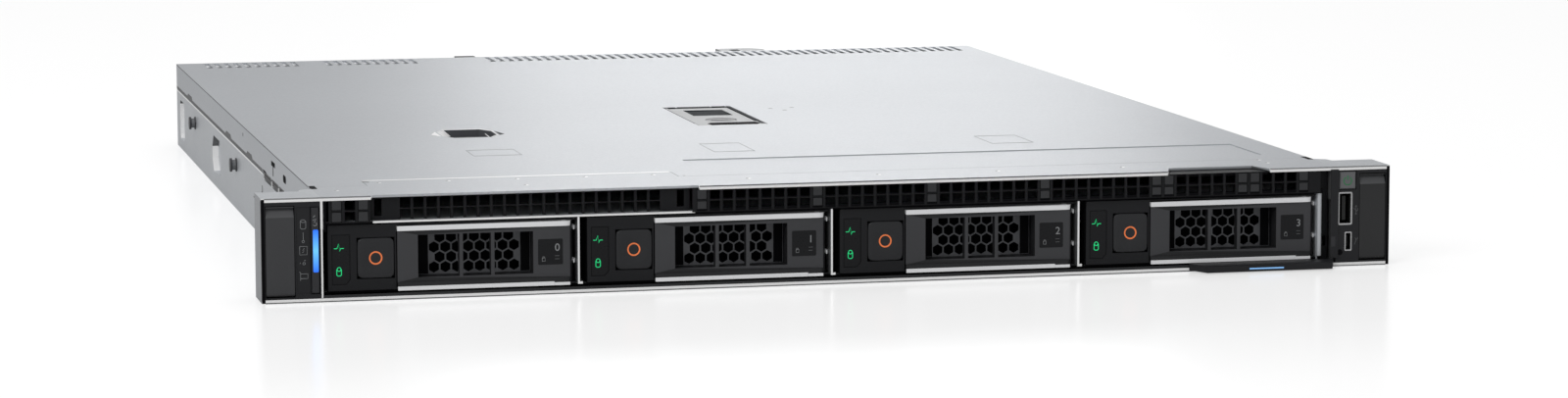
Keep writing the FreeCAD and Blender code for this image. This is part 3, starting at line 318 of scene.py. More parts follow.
def dress_case():
    # Tray: front faces of the walls painted black as shade, front edges with a painted highlight, and in the
    # pockets painted shade under the top and a painted highlight on the front slopes.
    dress("base_tray", "tray", ("painted_gap_shade", wall_front), ("edge_and_highlight", front_edge),
          ("seam", lambda c, n: pocket(c, n) and n.z < -0.35 and n.y < 0.5),
          ("edge_and_highlight", lambda c, n: pocket(c, n) and n.y < -0.3), ("tray", pocket),
          ("inner", lambda c, n: abs(c.x) < half_body - 0.5))
    # Front panel: painted highlight on its front edge.
    dress("front_top_panel", "cover", ("edge_and_highlight", front_edge), ("inner", inside))
    dress("top_cover", "cover", ("inner", inside), ("gap_shade", recess))
    for node in ("left_ear", "right_ear"):
        # Ears: painted highlight on their front edges, painted shade on their side faces.
        dress(node, "tray", ("bezel", ear_tip), ("edge_and_highlight", front_edge),
              ("ear_side_shade", lambda c, n: abs(n.x) > 0.9))
    # Cage: painted highlight on its upper front edge, painted black shade on its low front faces.
    dress("drive_cage", "tray", ("edge_and_highlight", lambda c, n: front_edge(c, n) and c.z > 31),
          ("painted_gap_shade", lambda c, n: n.y < -0.9 and c.y < 4 and c.z < 5 and c.x < 205),
          ("inner", lambda c, n: n.z > 0.5 and c.z < 8))
    # Dividers in painted shade, with a painted highlight on their front faces.
    dress("bay_dividers", "inner", ("edge_and_highlight", lambda c, n: n.y < -0.9))
    dress("rail_studs", "stud", ("stud_neck", lambda c, n: half_body + 0.4 < abs(c.x) < half_body + 2.0))
    # Grille: forward faces behind the vent face painted black as shade.
    dress("front_grille", "grille", ("painted_gap_shade", lambda c, n: n.y < -0.5 and c.x < 210 and c.z < 41.5))
    dress("front_usb_ports", "port", ("port_dark", lambda c, n: c.y > 1.0))
    dress("rear_ports", "port", ("port_dark", lambda c, n: panel_y - 12 < c.y < panel_y - 0.5))
    dress("cover_latch", "lever", ("slate", lambda c, n: c.y < 296 and 41.8 < c.z < 42.1))
    # Latch housing: its well below the cover painted black as shade.
    dress("latch_housing", "lever", ("painted_gap_shade", lambda c, n: c.z < 41.6))
    dress("motherboard", "board", ("chip", lambda c, n: c.z > 8.7))
    dress("riser_board", "board", ("chip", lambda c, n: c.x > 159.7))
    for finish, names in (("tray", "rear_panel slot_blanks psu_cage"), ("fan", "fan_frames"),
                          ("bezel", "left_control_bezel right_control_bezel information_tag boot_module"),
                          ("latch", "left_slam_latch right_slam_latch"), ("key", "id_button"),
                          # The side vent is painted black all over as shade.
                          ("power", "power_button"), ("painted_gap_shade", "side_vent"), ("grille", "drive_blank"),
                          ("lever", "card_latch"), ("lock", "latch_lock"), ("screw", "board_standoffs"),
                          ("board", "backplane memory_modules"), ("fins", "heatsink"),
                          ("shroud", "air_shroud")):
        for node in names.split():
            dress(node, finish)
    for number in range(1, 5):
        # Carriers: the window behind the mesh painted black as shade.
        dress("carrier_%d" % number, "frame",
              ("mesh", lambda c, n: 12.3 < c.y < 13.9 and n.y < -0.9),
              ("painted_gap_shade", lambda c, n: 12.3 < c.y < 19.9 and 8.0 < c.z < 26.6))
        dress("carrier_handle_%d" % number, "handle",
              ("silver_with_glow", lambda c, n: c.y < 4 and c.z > 27.85),
              ("rib", lambda c, n: n.y < -0.9 and 1.2 < c.y < 4.0 and 7.5 < c.z < 27))
        dress("release_button_%d" % number, "button")
        # Drives: front faces seen through the mesh painted black as shade.
        dress("drive_%d" % number, "drive", ("painted_gap_shade", lambda c, n: n.y < -0.9))
        dress("fan_rotor_%d" % number, "fan")
    for number in (1, 2):
        dress("power_supply_%d" % number, "supply",
              ("chip", lambda c, n: panel_y - 14 < c.y < panel_y + 1.5))
        dress("psu_latch_%d" % number, "touch")


# ---- building pieces
def place(obj, mat, body):
    obj.data.materials.append(M[mat])
    bpy.context.scene.collection.objects.link(obj)
    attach(obj, body)
    return obj


def solid(name, shape, mat, body, bevel=0.0):
    """A piece from a bmesh, with eased edges."""
    bmesh.ops.recalc_face_normals(shape, faces=shape.faces)
    mesh = bpy.data.meshes.new(name)
    shape.to_mesh(mesh)
    shape.free()
    obj = bpy.data.objects.new(name, mesh)
    if bevel:
        mod = obj.modifiers.new("eased", "BEVEL")
        mod.width = bevel * MM
        mod.segments = 2
        mod.limit_method = "ANGLE"
        mod.angle_limit = math.radians(50)
    return place(obj, mat, body)


def pull(shape, near, far):
    """A closed prism between two outlines that have the same number of corners."""
    a = [shape.verts.new(p) for p in near]
    b = [shape.verts.new(p) for p in far]
    shape.faces.new(a)
    shape.faces.new(list(reversed(b)))
    for i in range(len(a)):
        j = (i + 1) % len(a)
        shape.faces.new((a[i], b[i], b[j], a[j]))


def sleeve(shape, outer_near, inner_near, outer_far, inner_far):
    """A closed band between two outlines, such as a ring or a rim."""
    rings = [[shape.verts.new(p) for p in ring] for ring in (outer_near, inner_near, inner_far, outer_far)]
    count = len(outer_near)
    for k in range(4):
        one, two = rings[k], rings[(k + 1) % 4]
        for i in range(count):
            j = (i + 1) % count
            shape.faces.new((one[i], one[j], two[j], two[i]))


def oblong(u0, u1, v0, v1):
    """Corners of a rectangle in a plane."""
    return [(u0, v0), (u1, v0), (u1, v1), (u0, v1)]


def rounded(u0, u1, v0, v1, radius, steps=4):
    """Corners of a rounded rectangle in a plane."""
    points = []
    for cu, cv, start in ((u1 - radius, v1 - radius, 0), (u0 + radius, v1 - radius, 90),
                          (u0 + radius, v0 + radius, 180), (u1 - radius, v0 + radius, 270)):
        for k in range(steps + 1):
            a = math.radians(start + 90 * k / steps)
            points.append((cu + radius * math.cos(a), cv + radius * math.sin(a)))
    return points


def circle(u, v, radius, count=32):
    turns = [2 * math.pi * k / count for k in range(count)]
    return [(u + radius * math.cos(a), v + radius * math.sin(a)) for a in turns]


def arc(u, v, radius, start, end, count=14):
    turns = [math.radians(start + (end - start) * k / count) for k in range(count + 1)]
    return [(u + radius * math.cos(a), v + radius * math.sin(a)) for a in turns]


# Planes in which outlines are drawn, at a depth, a height or an x.
def front(points, depth):
    return [at(u, depth, v) for u, v in points]


def top(points, height):
    return [at(u, v, height) for u, v in points]


def side(points, x):
    return [at(x, u, v) for u, v in points]


def back(points, depth):
    return front(points, panel_y + depth)


def slab(name, plane, outlines, near, far, mat, body, bevel=0.0):
    """A piece made of prisms between two levels of a plane."""
    shape = bmesh.new()
    for outline in outlines:
        pull(shape, plane(outline, near), plane(outline, far))
    return solid(name, shape, mat, body, bevel)


def ring(name, outer, inner, near, near_inner, far, mat, body, slot):
    """A flat ring or rim on the front, whose near face may slope inward."""
    shape = bmesh.new()
    sleeve(shape, front(outer, near), front(inner, near_inner), front(outer, far), front(inner, far))
    solid(name, shape, mat, body)


def strokes(name, lines, width, mat, body, closed=()):
    """Thin raised lines through points, for symbols and pressed outlines."""
    curve = bpy.data.curves.new(name, "CURVE")
    curve.dimensions = "3D"
    curve.bevel_depth = width * MM / 2
    curve.bevel_resolution = 1
    for number, line in enumerate(lines):
        spline = curve.splines.new("POLY")
        spline.points.add(len(line) - 1)
        for point, place_ in zip(spline.points, line):
            point.co = (*place_, 1.0)
        spline.use_cyclic_u = number in closed
    return place(bpy.data.objects.new(name, curve), mat, body)


def symbol(name, lines, u, v, depth, width, mat, body):
    """Open lines drawn round their own middle, set on the front at u, v."""
    placed = [front([(a + u, b + v) for a, b in line], depth) for line in lines]
    return strokes(name, placed, width, mat, body)


# ---- left and right controls
def left_controls():
    signs = {
        "status_drive": (32.0, [[(-1.1, 1.3), (-1.1, -1.5), (-0.6, -1.9), (0.6, -1.9), (1.1, -1.5),
                                 (1.1, 1.3)],
                                [(-1.1, 1.3), (-0.5, 1.8), (0.5, 1.8), (1.1, 1.3), (0.5, 0.8), (-0.5, 0.8),
                                 (-1.1, 1.3)]]),
        "status_heat": (26.5, [[(0, 2.2), (0, -1.0)], arc(0, -1.5, 0.5, 0, 360, 10)]),
        "status_supply": (21.3, [[(-1.5, 1.7), (1.5, 1.7), (1.5, -1.7), (-1.5, -1.7), (-1.5, 1.7)],
                                 [(0.4, 0.9), (-0.4, 0.0), (0.4, 0.0), (-0.4, -0.9)]]),
        "status_memory": (16.0, [arc(0.2, 0, 0.5, 0, 360, 10), [(-1.2, 0.5), (-1.5, 0)],
                                 [(0.2, 1.2), (0.9, 1.3)]]),
        "status_card": (10.8, [[(-1.8, 1.7), (-1.3, 1.7), (-1.3, -1.7)],
                               [(-1.3, 1.0), (1.7, 1.0), (1.7, -0.9), (-1.3, -0.9)]]),
    }
    for name, (z, lines) in signs.items():
        symbol(name, lines, -half_body - 7.0, z, 0.28, 0.22, "icon", "chassis")
    mark = [[(-0.7, 1.6), (0.1, 2.3)], [(-0.9, 0.3), (0.5, 0.9), (-0.3, -0.6)],
            arc(0, -1.2, 0.7, 200, 420, 8)]
    symbol("identify_mark", mark, -half_body - 2.2, 33.2, -0.02, 0.34, "icon", "id_key")
    bar = rounded(-half_body - 3.1, -half_body - 0.9, bar_foot, bar_head, 0.5)
    slab("identify_light", front, [bar], -0.12, 0.3, "blue", "id_key", 0.08)


def thumb_plate(sign, name):
    """Thumb latch with its sloped finger groove right across the top."""
    groove_foot, groove_head, heel = 35.0, 39.2, 1.6
    outline = [(0.0, groove_foot), (1.9, 38.6), (0.25, 38.8), (0.25, 39.4), (3.2, 39.4)]
    turns = [math.pi * k / 8 for k in range(9)]
    outline += [(heel + heel * math.cos(a), 4.2 - heel * math.sin(a)) for a in turns]
    shape = bmesh.new()
    pull(shape, side(outline, sign * (half_body + 10.6)), side(outline, sign * (half_body + 22.2)))
    # The left plate gets the lighter copy of the latch plastic: painted light.
    finish = "lit_left_latch" if sign < 0 else "latch"
    plate = solid(name + "_thumb_plate", shape, finish, name + "_thumb_latch", 0.2)
    plate.data.materials.append(M["groove"])
    plate.data.materials.append(M["painted_gap_shade"])
    # The groove's upward slope gets the lighter copy as painted light; the ledge's underside is painted black
    # as shade.
    for polygon in plate.data.polygons:
        height, rise = polygon.center.z / MM, polygon.normal.z
        if height > groove_foot and 0.2 < rise < 0.9:
            polygon.material_index = 1
        elif groove_foot < height < groove_head and rise < -0.5:
            polygon.material_index = 2
    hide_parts(name + "_slam_latch")


def front_hems():
    """Painted highlights on the folded edges along the top and foot of the front, painted shade under the
    foot's edge and over the grille, a painted dark reflection on the bends over the ears, and dark uprights
    of painted shade at its ends.
    """
    near, far = -0.03, 0.2
    fold = body_top - 0.48
    # Ends of the folded edge over each ear, and over the long grille.
    ears = ((-ear_end, -196.3), (187.2, ear_end))
    grille = (-60.3, 141.8)
    bright = [oblong(-ear_end, ear_end, 0.45, 1.55)]
    bright += [oblong(x0, x1, 41.2, body_top - 0.5) for x0, x1 in (ears[0], grille, ears[1])]
    slab("front_sill", front, [oblong(-half_body + 1.2, half_body - 1.2, 1.6, 2.75)], 0.25, 0.5,
         "button", "chassis")
    # Painted highlights on the left wall's front edge and on the folded edges.
    slab("left_wall_edge_highlight", front, [oblong(-half_body + 0.1, -half_body + 0.85, 1.7, body_top - 1.8)],
         near, 0.0, "edge_and_highlight", "chassis")
    slab("front_hems", front, bright, near, far, "edge_and_highlight", "chassis")
    slab("hem_shade", front, [oblong(-ear_end, ear_end, 0.0, 0.42), oblong(*grille, fold, body_top)],
         near, far, "seam", "chassis")
    # Painted dark reflection on the bends over the ears.
    slab("hem_bend_reflections", front, [oblong(x0, x1, fold, body_top) for x0, x1 in ears],
         near, far, "bend_reflection", "chassis")
    # Dark uprights at the ears' ends and the gap under the small vent, painted black as shade.
    black = bmesh.new()
    for x0, x1 in ((-ear_end - 1.35, -ear_end - 0.03), (ear_end + 0.03, ear_end + 1.35)):
        outline = oblong(x0, x1, 0.2, sunk)
        pull(black, front(outline, near), front(outline, far))
    outline = oblong(-half_body + 1.2, -195.6, 31.3, 32.35)    # gap under the small vent
    pull(black, front(outline, 0.6), front(outline, 0.9))
    solid("ear_upright_shade", black, "painted_gap_shade", "chassis")


def vent_face(name, x0, x1, first, columns, filled):
    """Thin face of a vent, flush with the front: two rows of cells, shut in the filled columns."""
    half, pitch, rows = 2.15, 5.45, (34.4, 39.2)
    near, far = 0.1, 1.0
    centres = [first + pitch * k for k in range(columns)]
    x_edges = sorted([x0, x1] + [c + way * half for c in centres for way in (-1, 1)])
    z_edges = sorted([31.95, 41.5] + [c + way * half for c in rows for way in (-1, 1)])
    across, up = len(x_edges) - 1, len(z_edges) - 1
    shape = bmesh.new()
    corner = {}

    def vert(i, k, depth):
        if (i, k, depth) not in corner:
            corner[i, k, depth] = shape.verts.new(at(x_edges[i], depth, z_edges[k]))
        return corner[i, k, depth]

    def closed(i, k):
        return 0 <= i < across and 0 <= k < up and not (i % 2 and k % 2)

    for i, k in [(i, k) for i in range(across) for k in range(up) if closed(i, k)]:
        around = [(i, k), (i + 1, k), (i + 1, k + 1), (i, k + 1)]
        beside = [(i, k - 1), (i + 1, k), (i, k + 1), (i - 1, k)]
        shape.faces.new([vert(*c, near) for c in around])
        shape.faces.new([vert(*c, far) for c in around])
        for one, two, neighbour in zip(around, around[1:] + around[:1], beside):
            if not closed(*neighbour):
                shape.faces.new((vert(*one, near), vert(*two, near), vert(*two, far), vert(*one, far)))
    solid(name, shape, "grille", "chassis")
    plug = 1.95    # half the width of a shut cell's filling
    cells = [rounded(x - plug, x + plug, z - plug, z + plug, 0.2, 2)
             for x in (centres[k] for k in filled) for z in rows]
    slab(name + "_filled_cells", front, cells, near + 0.1, far, "cell", "chassis", 0.1)


def right_controls():
    w = half_body
    sign = [arc(0, 0, 1.75, 120, 420, 22), [(0, 0.3), (0, 2.3)]]
    symbol("power_sign", sign, w + 5.1, 36.6, -0.02, 0.36, "power_green", "power_key")
    ring("usb_rim", rounded(w + 0.9, w + 7.3, 17.7, 31.8, 0.8), rounded(w + 1.5, w + 6.7, 18.3, 31.2, 0.4),
         -0.05, -0.05, 0.15, "port", "chassis", "port_metal")
    ring("micro_rim", rounded(w + 4.0, w + 7.2, 6.5, 14.7, 0.5), rounded(w + 4.5, w + 6.7, 7.0, 14.2, 0.3),
         -0.05, -0.05, 0.15, "port", "chassis", "port_metal")
    slab("usb_contacts", front, [oblong(w + 4.75, w + 5.05, z, z + 0.9) for z in (20.6, 23.2, 26.0, 28.6)],
         2.4, 10.0, "gold", "chassis")
    trident = [[(0, -1.9), (0, 1.5)], [(0, -0.9), (0.8, -0.3), (0.8, 0.5)],
               [(0, -0.4), (-0.8, 0.2), (-0.8, 0.8)], arc(0, -1.9, 0.3, 0, 360, 8),
               [(-0.4, 1.2), (0, 1.9), (0.4, 1.2)]]
    symbol("usb_sign", trident, w + 9.0, 24.2, 0.02, 0.22, "icon_dim", "chassis")
    wrench = [[(-0.5, -1.6), (0.3, 0.6)], [(-0.2, 1.4), (0.1, 0.6), (0.8, 0.8), (0.9, 1.5)]]
    symbol("service_sign", wrench, w + 9.0, 10.7, 0.02, 0.26, "icon_dim", "chassis")
    # The pin hole is painted black as shade.
    slab("bezel_pin_hole", front, [circle(w + 1.9, 6.0, 1.3, 24)], -0.02, 0.1,
         "painted_gap_shade", "chassis")
    slab("side_window", front, [oblong(w - 2.4, w - 0.4, 8.6, 12.9)], -0.66, -0.58,
         "key", "chassis")
    depth = depth_of("information_tag")
    slab("tag_line", front, [oblong(175.0, 190.3, 1.45, 2.05)], depth - 0.03, depth + 0.3,
         "blue_line_glow", "tag")


# ---- drive bays
def dished_button(number):
    """Release button with a shallow dish round its ring."""
    node = "release_button_%d" % number
    body = "bay_button_%d" % number
    low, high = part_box(node)
    d0, d1 = (low.y - face_y) / MM, (high.y - face_y) / MM
    u0, u1, v0, v1 = low.x / MM, high.x / MM, low.z / MM, high.z / MM
    cu, cv = (u0 + u1) / 2, (v0 + v1) / 2
    ru, rv = (u1 - u0) / 2, (v1 - v0) / 2
    shape = bmesh.new()
    count = 48

    def round_at(radius, a):
        return radius * math.cos(a), radius * math.sin(a)

    def square_at(part, a):
        """Where a ray at angle a leaves the rounded outline, shrunk to a part of its size."""
        c, s = math.cos(a), math.sin(a)
        power = 9.0
        scale = (abs(c / (ru * part)) ** power + abs(s / (rv * part)) ** power) ** (-1 / power)
        return c * scale, s * scale

    # Depth of each loop: the round ones by radius, the square ones by part of the button.
    dish = ((0.25, 0.55), (1.9, 0.50), (3.2, 0.36), (4.4, 0.14), (5.2, 0.03), (5.9, 0.0))
    border = ((0.94, 0.0), (0.985, 0.12), (1.0, 0.4), (1.0, d1 - d0))
    loops = []
    for places, find in ((dish, round_at), (border, square_at)):
        for size, depth in places:
            spots = [find(size, 2 * math.pi * k / count) for k in range(count)]
            loops.append([shape.verts.new(at(cu + u, d0 + depth, cv + v)) for u, v in spots])
    for one, two in zip(loops, loops[1:]):
        for i in range(count):
            j = (i + 1) % count
            shape.faces.new((one[i], one[j], two[j], two[i]))
    shape.faces.new(loops[0])
    shape.faces.new(list(reversed(loops[-1])))
    button = solid("pressed_button_%d" % number, shape, "button", body)
    for polygon in button.data.polygons:
        polygon.use_smooth = abs(polygon.normal.y) > 0.5
    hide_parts(node)
    ring("release_ring_%d" % number, circle(cu, cv, 2.75), circle(cu, cv, 2.15),
         d0 + 0.36, d0 + 0.44, d0 + 0.7, "orange_glow", body, "touch_orange")


def bay_details(number):
    handle = "carrier_handle_%d" % number
    left = left_of(handle) - 28.3    # left side of the carrier, from which its places are counted
    body, pull_body = "bay_%d" % number, "pull_%d" % number
    window = [(left + 1.8, 6.7), (left + 7.3, 6.7), (left + 8.9, 8.5), (left + 8.9, 26.8), (left + 1.8, 26.8)]
    slab("lamp_window_%d" % number, front, [window], 2.1, 2.42, "lamp_glass", body, 0.12)
    pulse = [[(-2.0, 0.0), (-0.75, 0.0), (-0.1, 1.9), (0.35, -1.1), (0.75, 0.0), (2.0, 0.0)]]
    can = [[(-0.95, 1.0), (-0.95, -1.2), (-0.5, -1.6), (0.5, -1.6), (0.95, -1.2), (0.95, 1.0)],
           arc(0, 1.1, 0.8, 0, 360, 10)]
    for name, sign, z in (("activity_light", pulse, 21.4), ("status_light", can, 11.8)):
        symbol("%s_%d" % (name, number), sign, left + 4.5, z, 2.02, 0.34, "green", body)
    dished_button(number)
    bands = ((36.4, 42.5, 8.4, 26.2), (80.8, 84.7, 8.4, 26.2), (42.5, 80.8, 25.5, 26.2))
    borders = [oblong(left + u0, left + u1, v0, v1) for u0, u1, v0, v1 in bands]
    # Painted shade along the sides and top of the screen window.
    slab("screen_border_%d" % number, front, borders, 12.44, 12.6, "painted_gap_shade", body)
    # The bright foot is split near the hinge, so that the pull's part clears the cage when it swings.
    split = left + 92.9
    slab("pull_foot_%d" % number, front, [rounded(left + 28.3, split, 3.5, 5.15, 0.12, 2)], 0.55, 1.05,
         "silver_with_glow", pull_body, 0.1)
    slab("hinge_foot_%d" % number, front, [rounded(split + 0.05, left + 99.4, 3.5, 4.75, 0.12, 2)], 0.55, 1.0,
         "silver_with_glow", body, 0.1)
    face = depth_of(handle) + 0.8
    print_depth = face - 0.08
    slab("label_patch_%d" % number, front, [rounded(left + 86.3, left + 96.6, 12.0, 22.6, 0.5)],
         face - 0.06, face + 0.2, "lamp_glass", pull_body, 0.04)
    digit = bpy.data.curves.new("bay_number_%d" % number, "FONT")
    digit.body = str(number - 1)
    digit.size = 4.4 * MM
    digit.extrude = 0.03 * MM
    digit.align_x = "RIGHT"
    text = bpy.data.objects.new("bay_number_%d" % number, digit)
    text.location = at(left + 95.4, print_depth, 17.6)
    text.rotation_euler = (math.pi / 2, 0, 0)
    place(text, "icon", pull_body)
    mark = [[(-0.6, 0.6), (-0.6, -0.7), (0.6, -0.7), (0.6, 0.6), (-0.6, 0.6)],
            [(-0.35, 0.6), (-0.35, 1.1), (0.35, 1.1), (0.35, 0.6)]]
    symbol("drive_mark_%d" % number, mark, left + 88.6, 14.2, print_depth, 0.2, "icon", pull_body)
    bars = [[(-0.9, 0), (0.9, 0)], [(-0.9, -1.3), (0.9, -1.3)]]
    symbol("rate_mark_%d" % number, bars, left + 94.2, 15.6, print_depth, 0.26, "icon_dim", pull_body)
    finger = [(100.9, 9.6), (102.0, 8.6), (102.3, 5.0), (101.5, 2.9),
              (101.2, 3.2), (102.0, 5.0), (101.7, 8.3), (100.9, 9.2)]
    fingers = bmesh.new()
    for z in (26.1, 12.4):
        path = [(left + u, depth) for u, depth in finger]
        pull(fingers, top(path, z), top(path, z + 1.5))
    solid("ground_fingers_%d" % number, fingers, "silver_with_glow", body)


# ---- top of the case
def cover_mark(name, outlines, mat, body="cover"):
    """Flat marks that stand a hair above the cover."""
    slab(name, top, outlines, raised, sunk, mat, body)


def top_details():
    def dots(name, spots, radius, mat, body, dome=0.0):
        shape = bmesh.new()
        for x, d in spots:
            near = top(circle(x, d, radius * 0.6, 16), raised + dome)
            pull(shape, near, top(circle(x, d, radius, 16), sunk))
        solid(name, shape, mat, body)

    rivets = [(x, 20.0) for x in (-207.5, -129.0, -35.0, 21.0, 73.0, 128.0, 193.0)] + [(193.0, 31.0)]
    dimples = [(x, 42.0) for x in (-187.0, -158.0, -129.0, -100.0, -71.0)]
    # Painted highlights on the rivets and dimples, with a dark dot of painted shade to one side of each.
    dots("rivet_highlights", rivets + dimples, 1.5, "edge_and_highlight", "chassis", 0.05)
    dots("rivet_eye_shade", [(x - 0.5, d + 0.3) for x, d in rivets + dimples], 0.7, "stud", "chassis", 0.1)
    dots("cover_dimple", [(-59.0, 36.5)], 1.0, "lock", "cover")
    # Painted highlight along the tongue's edge.
    cover_mark("tongue_edge_highlight", [oblong(-192.6, -62.4, 50.2, 52.4)], "edge_and_highlight")
    comma = [(-193.4, 46.0), (-191.0, 44.0), (-190.4, 47.0), (-192.0, 49.6), (-193.4, 49.4)]
    cover_mark("tongue_relief", [comma], "lock", "chassis")
    frames = []
    for u0, u1, v0, v1 in ((-133, -112, 128, 150), (-28, -10, 118, 150), (99, 118, 120, 150)):
        frames.append(top([(u0, v0), (u0, v1), (u1, v1), (u1, v0), (u0, v0)], body_top - 0.02))
    # The pressed outlines are thin raised lines of painted shade.
    strokes("pressed_outlines", frames, 0.35, "pressed_line_shade", "cover")
    punched = [circle(x, d, 1.2, 16) for x, d in ((37, 290), (42, 281), (48, 292))]
    cover_mark("cover_punch_marks", punched, "lock")
    for sign, name in ((-1, "left"), (1, "right")):
        x = sign * half_body
        # A strip of painted shade along the cover's bend at each side.
        slab("cover_fold_shade_%s" % name, side, [oblong(38.2, cover_end, body_top - 0.55, body_top - 0.1)],
             x + sign * 0.02, x - sign * 0.3, "seam", "cover")
    # A bright sheet under the rear vents, standing for light seen through them: painted light.
    slab("vent_painted_light", top, [oblong(-208.0, 208.0, 575.0, 583.5)], body_top - 1.12, body_top - 1.3,
         "silver_with_glow", "cover")
    recess_details()
    latch_details()


def recess_details():
    """Sloping lining of the thumb recess: a painted highlight on the left slope and along the rear rim,
    painted shade on the right and rear slopes.
    """
    rim = [(-135, 208), (-131, 200), (-112, 200), (-108, 208),
           (-108, 227), (-112, 235), (-131, 235), (-135, 227)]
    middle_x, middle_d = -121.5, 217.5

    def shrunk(amount_x, amount_d, right=1.0):
        """The rim drawn in toward its middle, its right side by a part of the amount."""
        return [(x + amount_x if x < middle_x else x - right * amount_x,
                 d - math.copysign(amount_d, d - middle_d)) for x, d in rim]

    mouth, floor = shrunk(0.85, 0.85), shrunk(4.4, 2.0, 0.45)
    lining = bmesh.new()
    sleeve(lining, top(mouth, body_top - 0.1), top(shrunk(1.25, 1.25), body_top - 0.1),
           top(mouth, body_top - 2.9), top(floor, body_top - 2.9))
    slopes = solid("recess_lining", lining, "cover", "cover")
    slopes.data.materials.append(M["edge_and_highlight"])
    slopes.data.materials.append(M["gap_shade"])
    for polygon in slopes.data.polygons:
        if polygon.normal.x > 0.3:
            polygon.material_index = 1
        elif polygon.normal.x < -0.3 or polygon.normal.y < -0.3:
            polygon.material_index = 2
    # Painted highlights along the rim, down the rear right corner and beside the left slope, and painted
    # shade beside the right slope.
    strokes("recess_rim_highlight", [top(mouth, body_top - 0.02)[2:8]], 0.5, "edge_and_highlight", "cover")
    corner = [at(*floor[4], body_top - 2.8), at(*mouth[5], body_top - 0.15)]
    strokes("recess_corner_highlight", [corner], 0.5, "edge_and_highlight", "cover")
    cover_mark("recess_flare_highlight", [[(-138.2, 216.0), (-135.0, 208.5), (-135.0, 226.5)]], "edge_and_highlight")
    cover_mark("recess_shade", [[(-105.2, 212.0), (-108.0, 225.0), (-108.0, 208.0)]], "gap_shade")


def latch_details():
    """Outline gaps painted as shade, ring and marks of the cover's latch."""
    x0, x1, d0, d1 = -12.5, 20.5, 224.0, 306.0    # sides, front and rear of the latch
    high = body_top - 0.02

    def flat(name, outlines, mat, above=0.03):
        slab(name, top, outlines, high + above, high - 0.5, mat, "cover")

    flat("latch_shoulders", [
        [(x0 + 0.8, d0 + 0.6), (x0 + 7.0, d0 + 0.6), (x0 + 6.1, d0 + 8.0), (x0 + 8.0, d0 + 10.6),
         (x0 + 8.0, d0 + 14.0), (x0 + 0.8, d0 + 14.0)],
        [(x1 - 4.8, d0 + 0.8), (x1 - 2.1, d0 + 0.8), (x1 - 2.1, d0 + 14.0), (x1 - 3.8, d0 + 14.0),
         (x1 - 3.8, d0 + 10.5), (x1 - 2.4, d0 + 6.0)]], "lever", -0.1)
    flat("latch_side_gap", [oblong(x1 - 1.9, x1 - 0.2, d0 + 5, d1 - 2),
                            oblong(x1 - 9.0, x1 - 2.6, d1 - 1.8, d1),
                            oblong(x0, x0 + 6.0, d1 - 1.8, d1)], "gap_shade")
    flat("latch_outline", [oblong(x0, x0 + 0.5, d0 + 10, d1 - 2), oblong(x0 + 7.2, x1 - 10.0, d1 - 0.7, d1)],
         "gap_shade")
    # The finger gap is painted black as deep shade.
    flat("latch_finger_gap", [
        [(x0 + 7.0, d0 + 1.0), (x1 - 5.0, d0 + 1.0), (x1 - 2.0, d0 + 6.0),
         (x1 - 4.0, d0 + 10.5), (x0 + 8.0, d0 + 10.5), (x0 + 6.2, d0 + 8.0)]], "painted_gap_shade")
    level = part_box("latch_lock")[1].z / MM + 0.02
    strokes("lock_ring", [top(circle(4.0, 250.0, 7.4, 40), level)], 0.35,
            "lever_line", "cover_lever", (0,))
    slab("lock_notches", top, [oblong(x - 0.8, x + 0.8, 248.6, 251.4) for x in (-3.6, 11.6)],
         level + 0.03, level - 0.3, "gap_shade", "cover_lever")
    slab("lock_slot", top, [oblong(-0.2, 7.4, 249.0, 251.2)], level + 0.03, level - 0.3,
         "gap_shade", "lever_lock")


# ---- left and right walls
# Depths of the hooks and slots in the cover's flange, and the height of its foot.
hooks = ((238.0, 262.0), (325.0, 350.0), (505.0, 530.0))
seam_slots = ((120.0, 139.0), (141.0, 165.0), (167.0, 197.0))
flange_foot = 30.02
stud_depths = (304.0, 491.5)


